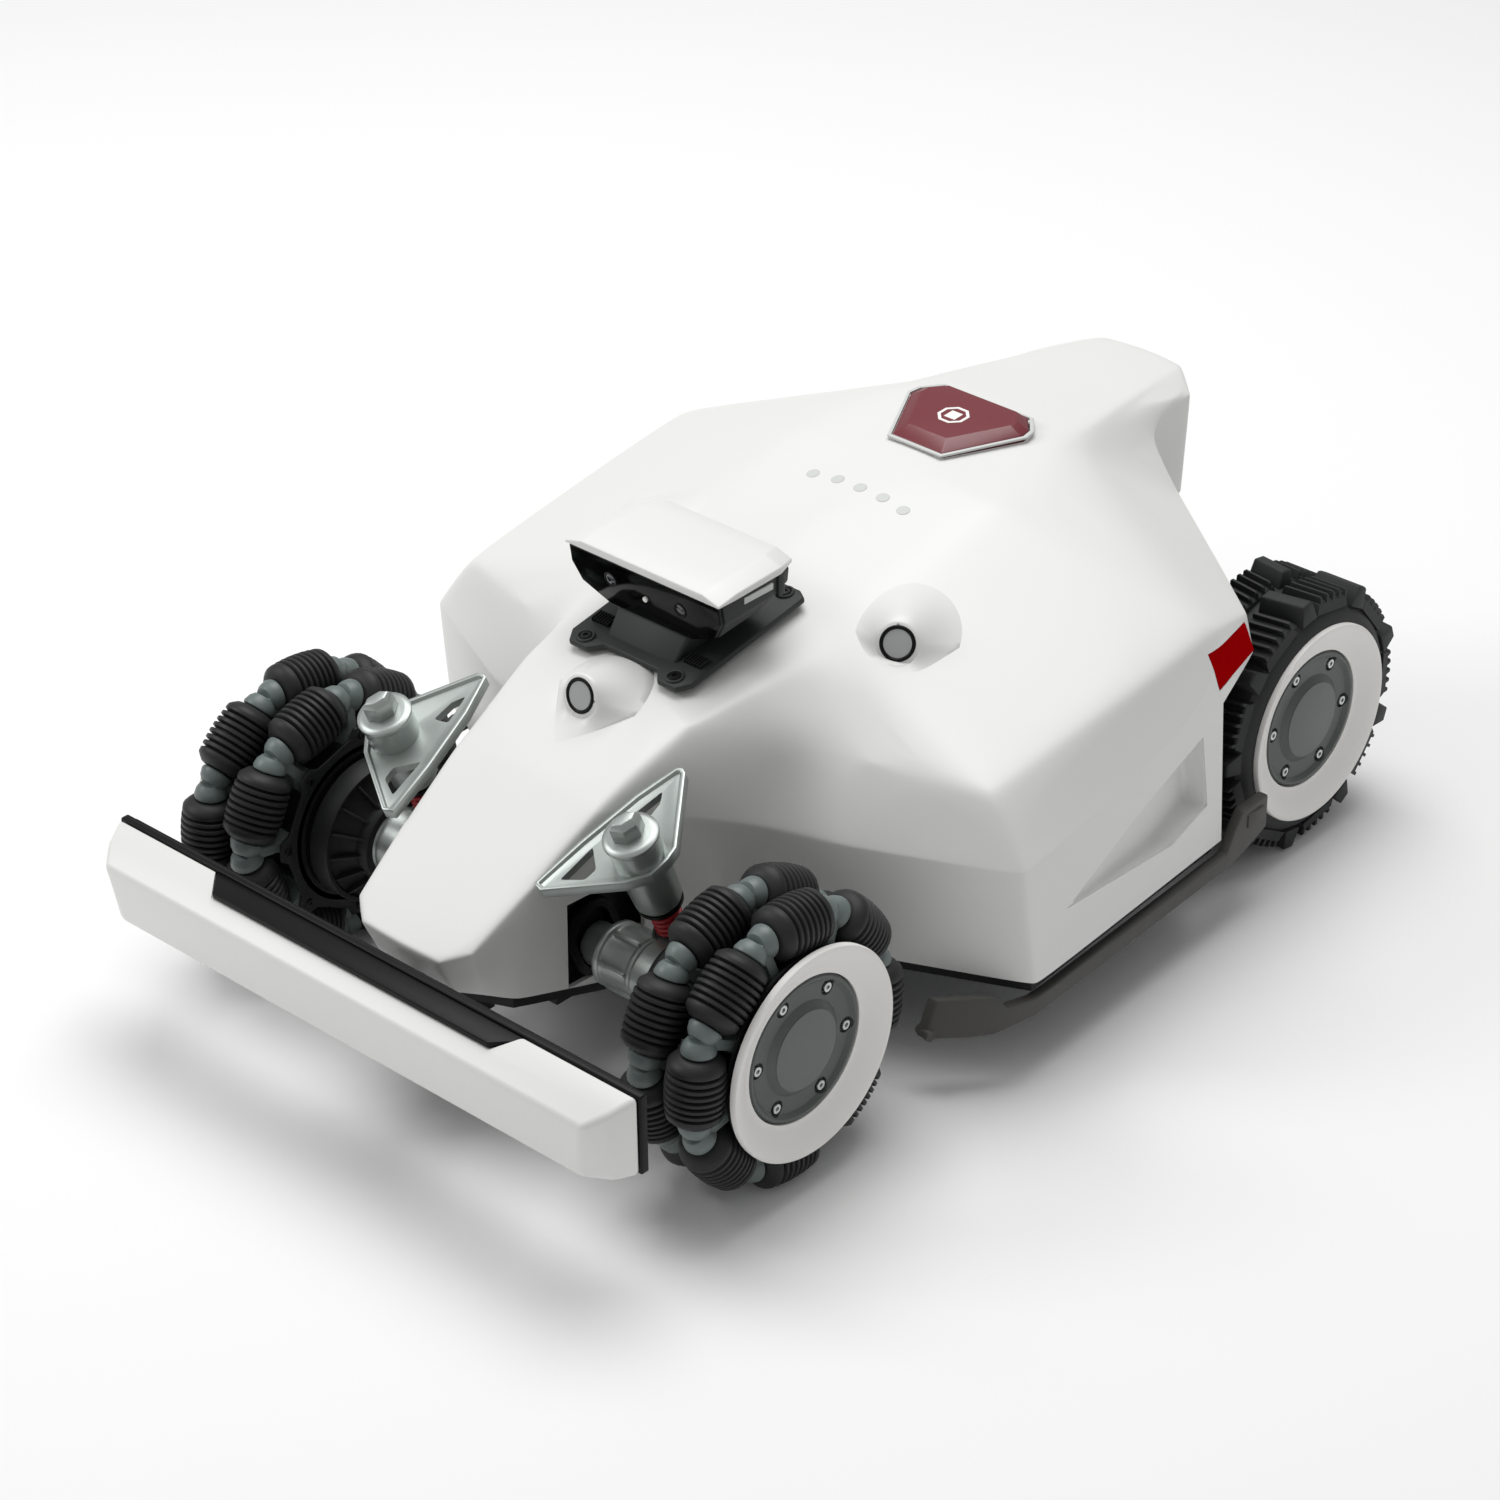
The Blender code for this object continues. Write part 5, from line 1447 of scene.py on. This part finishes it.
@dataclass
class FrontStrut:
    """Bracket with a raised rim, strut sleeve with its key-shaped lug, red spring, and the cast arm."""

    side: Side
    x: float = 0.0929
    behind: float = -0.0171
    up: float = 0.1812
    sleeve_r: float = 0.0145
    sleeve_end: float = 0.054
    cup_top: float = 0.080
    plate_down: float = 0.0180
    coils: int = 5
    wire: float = 0.0013
    coil_r: float = 0.0076

    def strut_point(self, down: float) -> Vector:
        """Point on the strut's axis, a distance down from its flange."""
        return at(self.side.value * self.x, self.behind, self.up) - STRUT_UP * down

    def build(self) -> None:
        """Make every piece of one strut."""
        self.build_bracket()
        self.build_sleeve()
        self.build_spring()
        self.build_arm()
        self.build_gearbox()

    def plate_place(self) -> Matrix:
        """Plane of the bracket: square to the strut, local X outwards and local Y back."""
        return facing(self.strut_point(self.plate_down), STRUT_UP, Vector((1, 0, 0)))

    def to_plate(self, x: float, behind: float) -> tuple[float, float]:
        """Point of the bracket's outline in its own plane."""
        lean = math.atan2(-STRUT_UP.y, STRUT_UP.z)
        centre = self.strut_point(self.plate_down)
        return self.side.value * x - centre.x, (behind + AXLE.y - centre.y) / math.cos(lean)

    def outline(self, points: tuple[tuple[float, float], ...]) -> list[tuple[float, float]]:
        """Turn points given in plan into the bracket's plane."""
        return [self.to_plate(x, behind) for x, behind in points]

    def build_bracket(self) -> None:
        """Plate with a raised rim and two openings towards the nose."""
        edge = self.outline(((0.0535, -0.0490), (0.0570, -0.0180), (0.0640, 0.0180), (0.0718, 0.0410), (0.0755, 0.0424),
                             (0.0790, 0.0405), (0.1085, 0.0020), (0.1098, -0.0060), (0.1085, -0.0170),
                             (0.0990, -0.0275), (0.0600, -0.0510)))
        plate = prism(edge, 0.0070)
        plate.transform(Matrix.Translation((0, 0, -0.0055)))
        top = max(plate.faces, key=lambda face: face.calc_center_median().z)
        bmesh.ops.inset_region(plate, faces=[top], thickness=0.0024, depth=0.0)
        bmesh.ops.inset_region(plate, faces=[top], thickness=0.0008, depth=-0.0022)
        softened(plate, 0.0005, 2, 40.0)
        openings = []
        for points in (((0.0635, -0.0405), (0.0650, -0.0170), (0.0770, -0.0270), (0.0760, -0.0345)),
                       ((0.0705, 0.0090), (0.0745, 0.0270), (0.0790, 0.0200), (0.0800, 0.0075))):
            hole = prism(self.outline(points), 0.03)
            hole.transform(Matrix.Translation((0, 0, -0.015)))
            openings.append(softened(hole, 0.0018, 3, 40.0))
        bracket = carved(plate, openings)
        piece = Piece(f"{self.side.word}_bracket_plate", "chassis", 28.0)
        piece.add(bracket, CAST_SILVER, self.plate_place())
        piece.build(f"{self.side.word}_strut_bracket", slot="cast_alloy")

    def build_sleeve(self) -> None:
        """Round sleeve with a rolled flange, a black mouth and the lug that a spanner turns."""
        r, end = self.sleeve_r, self.sleeve_end
        profile = [(0.0, 0.0006), (r - 0.0024, 0.0006), (r - 0.0004, 0.0002), (r + 0.0010, -0.0008),
                   (r + 0.0012, -0.0022), (r + 0.0008, -0.0036), (r - 0.0002, -0.0048), (r, -0.0250),
                   (r - 0.0006, -0.0400), (r - 0.0012, -end + 0.002), (r - 0.0022, -end),
                   (0.0104, -end), (0.0100, -0.0090), (0.0, -0.0090)]
        sleeve = Piece(f"{self.side.word}_strut_sleeve", "chassis", 35.0)
        sleeve.add(lathe(profile, 56), CAST_SILVER, facing(self.strut_point(0.0), STRUT_UP, Vector((0, 1, 0))))
        lug = []
        for up, long, wide in ((0.0, 0.0098, 0.0062), (0.0094, 0.0094, 0.0058), (0.0122, 0.0072, 0.0030)):
            lug.append([Vector((long, 0, up)), Vector((long * 0.45, wide, up)), Vector((-long * 0.45, wide, up)),
                        Vector((-long, 0, up)), Vector((-long * 0.45, -wide, up)), Vector((long * 0.45, -wide, up))])
        key = softened(loft(lug), 0.0006, 2)
        sleeve.add(key, CAST_SILVER, facing(self.strut_point(-0.0004), STRUT_UP, Vector((0.35, 1, 0))))
        boot = lathe([(0.0101, -0.0005), (r - 0.0016, -0.0005), (r - 0.0016, -0.0028), (0.0101, -0.0022)], 40,
                     closed=True)
        sleeve.add(boot, SEAL_BLACK, facing(self.strut_point(end), STRUT_UP))
        sleeve.build()

    def build_spring(self) -> None:
        """Powder-coated coil between the arm's cup and the sleeve's mouth."""
        length = self.cup_top - self.sleeve_end - 0.0040
        coil = bmesh.new()
        bmesh.ops.create_circle(coil, segments=10, radius=self.wire)
        bmesh.ops.rotate(coil, verts=coil.verts[:], cent=(0, 0, 0), matrix=Matrix.Rotation(math.pi / 2, 3, "X"))
        bmesh.ops.translate(coil, verts=coil.verts[:], vec=(self.coil_r, 0, self.wire + 0.0004))
        steps = self.coils * 24
        bmesh.ops.spin(coil, geom=coil.edges[:] + coil.verts[:], cent=(0, 0, 0), axis=(0, 0, 1),
                       dvec=(0, 0, (length - 2 * self.wire) / steps), angle=math.tau * self.coils, steps=steps)
        bmesh.ops.holes_fill(coil, edges=[e for e in coil.edges if len(e.link_faces) == 1], sides=0)
        bmesh.ops.recalc_face_normals(coil, faces=coil.faces[:])
        bottom = self.strut_point(self.cup_top)
        piece = Piece(f"{self.side.word}_coil", "chassis", 60.0).add(coil, SPRING_RED, facing(bottom, STRUT_UP))
        made = piece.build(f"{self.side.word}_spring", slot="red_spring")
        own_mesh(made)

    def build_arm(self) -> None:
        """Cast arm: stub, drum with flats and a cup for the spring, with its rod."""
        sign = self.side.value
        place = facing(Vector((0, AXLE.y, AXLE.z)), Vector((sign, 0, 0)), Vector((0, 1, 0)))
        piece = Piece(f"{self.side.word}_cast_arm", f"{self.side.word}_front_arm", 32.0)
        profile = [(0.0, 0.0475), (0.0125, 0.0475), (0.0125, 0.0600), (0.0175, 0.0615), (0.0190, 0.0632),
                   (0.0190, 0.0660), (0.0170, 0.0672), (0.0170, 0.0860), (0.0182, 0.0872), (0.0182, 0.0900),
                   (0.0196, 0.0915), (0.0196, 0.1050), (0.0240, 0.1080), (0.0240, 0.1140), (0.0, 0.1140)]
        piece.add(softened(lathe(profile, 56), 0.0007, 2, 30.0), CAST_SILVER, place)
        for i in range(6):
            angle = math.tau * i / 6 + 0.3
            rib = block(Vector((-0.0012, 0.0165, 0.0675)), Vector((0.0012, 0.0195, 0.0865)))
            piece.add(softened(rib, 0.0005, 2), CAST_SILVER, place @ Matrix.Rotation(angle, 4, "Z"))
        bottom = facing(self.strut_point(self.cup_top), STRUT_UP)
        cup = [(0.0, -0.0230), (0.0112, -0.0230), (0.0117, -0.0220), (0.0117, -0.0008), (0.0112, 0.0), (0.0102, 0.0),
               (0.0098, -0.0030), (0.0035, -0.0030), (0.0035, 0.0435), (0.0, 0.0440)]
        piece.add(lathe(cup, 40), DARK_CASTING, bottom)
        piece.build(f"{self.side.word}_front_arm", slot="cast_alloy")

    def build_gearbox(self) -> None:
        """Black gearbox disc inside the wheel: rolled rim, radial ribs and a stepped cone."""
        sign = self.side.value
        place = facing(Vector((0, AXLE.y, AXLE.z)), Vector((sign, 0, 0)), Vector((0, 1, 0)))
        piece = Piece(f"{self.side.word}_gearbox", f"{self.side.word}_front_arm", 32.0)
        profile = [(0.0200, 0.1060), (0.0215, 0.1050), (0.0250, 0.1056), (0.0262, 0.1080), (0.0262, 0.1130),
                   (0.0330, 0.1195), (0.0385, 0.1212), (0.0400, 0.1196), (0.0420, 0.1196), (0.0428, 0.1214),
                   (0.0428, 0.1326), (0.0200, 0.1326)]
        piece.add(lathe(profile, 80, closed=True), BLACK_ABS, place)
        for i in range(16):
            rib = loft([[Vector((-0.0007, 0.0250, 0.1075)), Vector((0.0007, 0.0250, 0.1075)),
                         Vector((0.0007, 0.0250, 0.1240)), Vector((-0.0007, 0.0250, 0.1240))],
                        [Vector((-0.0006, 0.0396, 0.1188)), Vector((0.0006, 0.0396, 0.1188)),
                         Vector((0.0006, 0.0396, 0.1240)), Vector((-0.0006, 0.0396, 0.1240))]])
            piece.add(softened(rib, 0.0003, 1), BLACK_ABS, place @ Matrix.Rotation(math.tau * i / 16, 4, "Z"))
        spindle = lathe([(0.0, 0.1300), (0.0084, 0.1300), (0.0084, 0.1500), (0.0080, 0.1610), (0.0, 0.1615)], 32)
        piece.add(spindle, ZINC_STEEL, place)
        piece.build()


# ---------------------------------------------------------------------------- bumper, guards, lower parts


@dataclass
class Bumper:
    """White beam across the front on a black rubber-edged backing."""

    half: float = 0.198
    top: float = 0.1190
    bottom: float = 0.0708
    back: float = -0.1155
    split: float = -0.1215

    def notch(self, inset: float, low: float, high: float) -> bmesh.types.BMesh:
        """Trapezium cut from the top of the beam, or the tongue that fills it."""
        plan = [(-0.1203 + inset, self.split + 0.002), (-0.1056 + inset, -0.1368 + inset),
                (0.1056 - inset, -0.1368 + inset), (0.1203 - inset, self.split + 0.002)]
        shape = prism([(x, AXLE.y + behind) for x, behind in plan], high - low)
        shape.transform(Matrix.Translation((0, 0, low)))
        return shape

    def build(self) -> None:
        """Make beam and backing."""
        top, low = self.top + 0.0004, self.bottom - 0.0004
        back = [at(-self.half, self.split, low), at(self.half, self.split, low), at(self.half, self.split, top),
                at(-self.half, self.split, top)]
        waist = [at(-0.1905, -0.1340, 0.0700), at(0.1905, -0.1340, 0.0700), at(0.1915, -0.1360, 0.1135),
                 at(-0.1915, -0.1360, 0.1135)]
        front = [at(-0.176, -0.1430, 0.0706), at(0.176, -0.1430, 0.0706), at(0.1820, -0.1478, 0.1068),
                 at(-0.1820, -0.1478, 0.1068)]
        beam = softened(loft([back, waist, front]), 0.0034, 4, 12.0)
        cut = carved(beam, [self.notch(0.0, 0.1130, 0.1300)])
        Piece("bumper_beam", "bumper", 26.0).add(cut, SHELL_WHITE).build("front_bumper", slot="white_plastic")
        self.build_backing()

    def build_backing(self) -> None:
        """Black plate behind the beam, with a rolled upper edge, the tongue and two guides."""
        plate = block(at(-self.half, self.split + 0.0004, self.bottom), at(self.half, self.back, self.top))
        softened(plate, 0.0012, 3)
        backing = Piece("bumper_plate", "bumper", 30.0).add(plate, SEAL_BLACK)
        tongue = softened(self.notch(0.0006, 0.1134, 0.1172), 0.0008, 2, 40.0)
        backing.add(tongue, SEAL_BLACK)
        bead = lathe([(0.0, 0.0), (0.0013, 0.0004), (0.0013, 0.3800), (0.0, 0.3804)], 16)
        backing.add(bead, SEAL_BLACK, facing(at(-0.1902, self.back - 0.0014, self.top - 0.0009), Vector((1, 0, 0))))
        for side in Side:
            x = side.value * 0.0150
            arm = block(at(x - 0.006, self.back - 0.004, 0.0630), at(x + 0.006, -0.0950, 0.0850))
            backing.add(softened(arm, 0.0010, 2), BLACK_ABS)
            pin = lathe([(0.0, 0.0), (0.0036, 0.0), (0.0040, 0.0006), (0.0040, 0.0490), (0.0, 0.0500)], 24)
            backing.add(pin, ZINC_STEEL, facing(at(x, -0.0680, 0.0690), Vector((0, -1, 0))))
        backing.build("bumper_backing", slot="soft_rubber")


@dataclass
class SideGuard:
    """Skid rail under a side of the shell, hooked at the front and upright before the wheel."""

    side: Side
    thick: float = 0.0070

    def section(self, x: float, behind: float, low: float, high: float, lean: float = 0.0) -> list[Vector]:
        """Upright section of the rail, whose upper edge may lean back."""
        side, inner = self.side.value, self.side.value * (x - self.thick)
        return [at(side * x, behind, low), at(side * x, behind + lean, high),
                at(inner, behind + lean, high), at(inner, behind, low)]

    def build(self) -> None:
        """Make rail, hook, strap and screws."""
        stations = ((0.1950, 0.1020, 0.0360, 0.0565, 0.0100), (0.2100, 0.1190, 0.0350, 0.0580, 0.0060),
                    (0.2190, 0.1310, 0.0350, 0.0580, 0.0030), (0.2228, 0.1380, 0.0370, 0.0505, 0.0010),
                    (0.2280, 0.1560, 0.0390, 0.0502, 0.0), (0.2278, 0.1700, 0.0395, 0.0500, 0.0),
                    (0.2170, 0.3430, 0.0390, 0.0492, 0.0), (0.2154, 0.3530, 0.0390, 0.0620, 0.0),
                    (0.2148, 0.3600, 0.0395, 0.0696, 0.0), (0.2140, 0.3845, 0.0480, 0.0696, 0.0))
        rail = softened(loft([self.section(*row) for row in stations]), 0.0012, 3, 20.0)
        guard = Piece(f"{self.side.word}_skid_rail", "chassis", 28.0).add(rail, GUARD_GREY)
        curl = softened(lathe([(0.0, 0.0), (0.0034, 0.0), (0.0034, 0.0110), (0.0, 0.0110)], 24), 0.0008, 2)
        guard.add(curl, GUARD_GREY, facing(at(self.side.value * 0.1975, 0.1046, 0.0376),
                                           Vector((-self.side.value, 0.25, 0))))
        seat = softened(block(Vector((-0.0016, 0, 0)), Vector((0.0016, 0.0160, 0.0090))), 0.0010, 2)
        guard.add(seat, GUARD_GREY, Matrix.Translation(at(self.side.value * 0.2142, 0.3640, 0.0560)))
        for share in (0.15, 0.5, 0.85):
            x, behind = 0.2278 - 0.0108 * share, 0.1700 + 0.1730 * share
            place = facing(at(self.side.value * (x - 0.0035), behind, 0.0394), Vector((0, 0, -1)))
            guard.add(socket_screw(0.0024, 0.0010), BLACK_STEEL, place)
        guard.build(f"{self.side.word}_side_guard", slot="grey_plastic")


@dataclass
class LowerParts:
    """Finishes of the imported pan, deck and blade discs, and the parts screwed to them."""

    slot_steps: int = 48

    def build(self) -> None:
        """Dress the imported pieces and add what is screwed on."""
        dressed = (("chassis_pan", BLACK_ABS), ("cutting_deck", CHARCOAL_ABS), ("left_blade_disc", BLADE_STEEL),
                   ("right_blade_disc", BLADE_STEEL))
        for node, finish in dressed:
            for slot in frame["nodes"][node].material_slots:
                slot.material = finish.material()
            LOG.info("%s keeps its packed shape, finished in %s", node, finish.name)
        self.build_tail_panel()
        for side in Side:
            self.build_arm_mouth(side)
            self.build_disc_screws(side)

    def build_tail_panel(self) -> None:
        """Ribbed panel on the back of the tub, with two charging strips."""
        panel = Piece("tail_panel", "chassis", 30.0)
        plate = block(at(-0.112, 0.4952, 0.0600), at(0.112, 0.4985, 0.1160))
        panel.add(softened(plate, 0.0010, 2), CHARCOAL_ABS)
        for i in range(13):
            x = -0.096 + 0.016 * i
            rib = block(at(x - 0.0025, 0.4980, 0.0960), at(x + 0.0025, 0.4998, 0.1120))
            panel.add(softened(rib, 0.0007, 2), CHARCOAL_ABS)
        for side in Side:
            x = side.value * 0.040
            strip = block(at(x - 0.012, 0.4980, 0.0720), at(x + 0.012, 0.4996, 0.0860))
            panel.add(softened(strip, 0.0005, 2), ZINC_STEEL)
            for z in (0.066, 0.110):
                place = facing(at(side.value * 0.106, 0.4985, z), Vector((0, 1, 0)))
                panel.add(socket_screw(0.0026, 0.0012), BLACK_STEEL, place)
        panel.build()

    def slot(self, side: Side, radius: float, x: float) -> list[Vector]:
        """Upright rounded slot around the arm's stub, as long as the strut's travel.

        Args:
            side: Side of the machine.
            radius: Radius of its ends.
            x: Distance of its plane from the machine's middle.

        Returns:
            Its corners, in order.
        """
        travel = STRUT_UP * JOINTS[f"{side.word}_front_strut"]["range_m"][1]
        centre = Vector((side.value * x, AXLE.y, AXLE.z))
        points = []
        for i in range(self.slot_steps):
            out = radial(math.tau * (i + 0.5) / self.slot_steps)
            points.append(centre + out * radius + (travel if out.dot(travel) > 0 else Vector()))
        return points

    def build_arm_mouth(self, side: Side) -> None:
        """Black collar in the side of the nose, with a slot that the arm's stub travels in."""
        collar = loft([self.slot(side, 0.0188, 0.0440), self.slot(side, 0.0188, 0.0510)])
        softened(collar, 0.0012, 2, 40.0)
        hole = loft([self.slot(side, 0.0136, 0.0400), self.slot(side, 0.0136, 0.0550)])
        Piece(f"{side.word}_arm_mouth", "chassis", 35.0).add(carved(collar, [hole]), SEAL_BLACK).build()

    def build_disc_screws(self, side: Side) -> None:
        """Screws that hold the blades and the disc's middle."""
        centre = Vector(JOINTS[f"{side.word}_blade_spin"]["pos_m"])
        body = f"{side.word}_blade_disc"
        screws = Piece(f"{side.word}_blade_screws", body, 30.0)
        for i in range(3):
            angle = math.tau * i / 3 + 0.4
            spot = centre + Vector((0.057 * math.cos(angle), 0.057 * math.sin(angle), -0.0172))
            screws.add(socket_screw(0.0030, 0.0020), ZINC_STEEL, facing(spot, Vector((0, 0, -1))))
        screws.add(socket_screw(0.0060, 0.0030), ZINC_STEEL, facing(centre - Vector((0, 0, 0.0190)), Vector((0, 0, -1))))
        screws.build()


# ---------------------------------------------------------------------------- stage


@dataclass
class Studio:
    """Pale floor, soft lamps and the camera."""

    azimuth: float = 41.661
    elevation: float = 31.270
    eye: tuple[float, float, float] = (1.4175, -1.5456, 1.3677)
    lens: float = 102.58
    shift: tuple[float, float] = (-0.0508, 0.0055)

    def build(self) -> None:
        """Set the whole stage."""
        self.build_floor()
        self.build_lamps()
        self.build_camera()

    def build_floor(self) -> None:
        """Wide matt floor at z = 0."""
        floor = bmesh.new()
        bmesh.ops.create_grid(floor, x_segments=1, y_segments=1, size=12.0)
        data = bpy.data.meshes.new("floor")
        floor.to_mesh(data)
        floor.free()
        data.materials.append(FLOOR_WHITE.material())
        made = bpy.data.objects.new("floor", data)
        bpy.context.scene.collection.objects.link(made)

    def lamp(self, name: str, place: Vector, size: float, power: float) -> None:
        """Square soft lamp that points at the machine's middle.

        Args:
            name: Name of the lamp.
            place: Where it hangs.
            size: Width of its face.
            power: Power in watts.
        """
        data = bpy.data.lights.new(name, "AREA")
        data.size = size
        data.energy = power
        lamp = bpy.data.objects.new(name, data)
        lamp.location = place
        lamp.rotation_mode = "QUATERNION"
        lamp.rotation_quaternion = (Vector((0, 0, 0.1)) - place).to_track_quat("-Z", "Y")
        bpy.context.scene.collection.objects.link(lamp)

    def build_lamps(self) -> None:
        """Large overhead softbox, a key from the far side and an even white surround."""
        self.lamp("overhead", Vector((-0.4, 0.5, 2.6)), 2.0, 52.0)
        self.lamp("key", Vector((-2.0, -1.6, 2.0)), 1.2, 26.0)
        world = bpy.data.worlds.new("surround")
        world.use_nodes = True
        sky = world.node_tree.nodes["Background"]
        sky.inputs["Color"].default_value = linear("FFFFFF")
        sky.inputs["Strength"].default_value = 0.38
        bpy.context.scene.world = world
        bpy.context.scene.view_settings.view_transform = "Standard"

    def build_camera(self) -> None:
        """Long lens that looks down on the machine's front left quarter."""
        a, e = math.radians(self.azimuth), math.radians(self.elevation)
        back = Vector((math.sin(a) * math.cos(e), -math.cos(a) * math.cos(e), math.sin(e)))
        right = Vector((math.cos(a), math.sin(a), 0.0))
        up = back.cross(right)
        data = bpy.data.cameras.new("camera")
        data.lens = self.lens
        data.sensor_width = 36.0
        data.shift_x, data.shift_y = self.shift
        camera = bpy.data.objects.new("camera", data)
        camera.matrix_world = Matrix.Translation(Vector(self.eye)) @ Matrix((right, up, back)).transposed().to_4x4()
        bpy.context.scene.collection.objects.link(camera)
        bpy.context.scene.camera = camera


def main() -> None:
    """Build the machine and its stage."""
    logging.basicConfig(level=logging.INFO, format="%(name)s: %(message)s")
    shell = BodyShell()
    shell.build()
    CameraHead().build()
    StopButton(shell).build()
    Bumper().build()
    for side in Side:
        FrontStrut(side).build()
        OmniWheel(side).build()
        RearWheel(side).build()
        SideGuard(side).build()
    LowerParts().build()
    Studio().build()


if __name__ == "__main__":
    main()
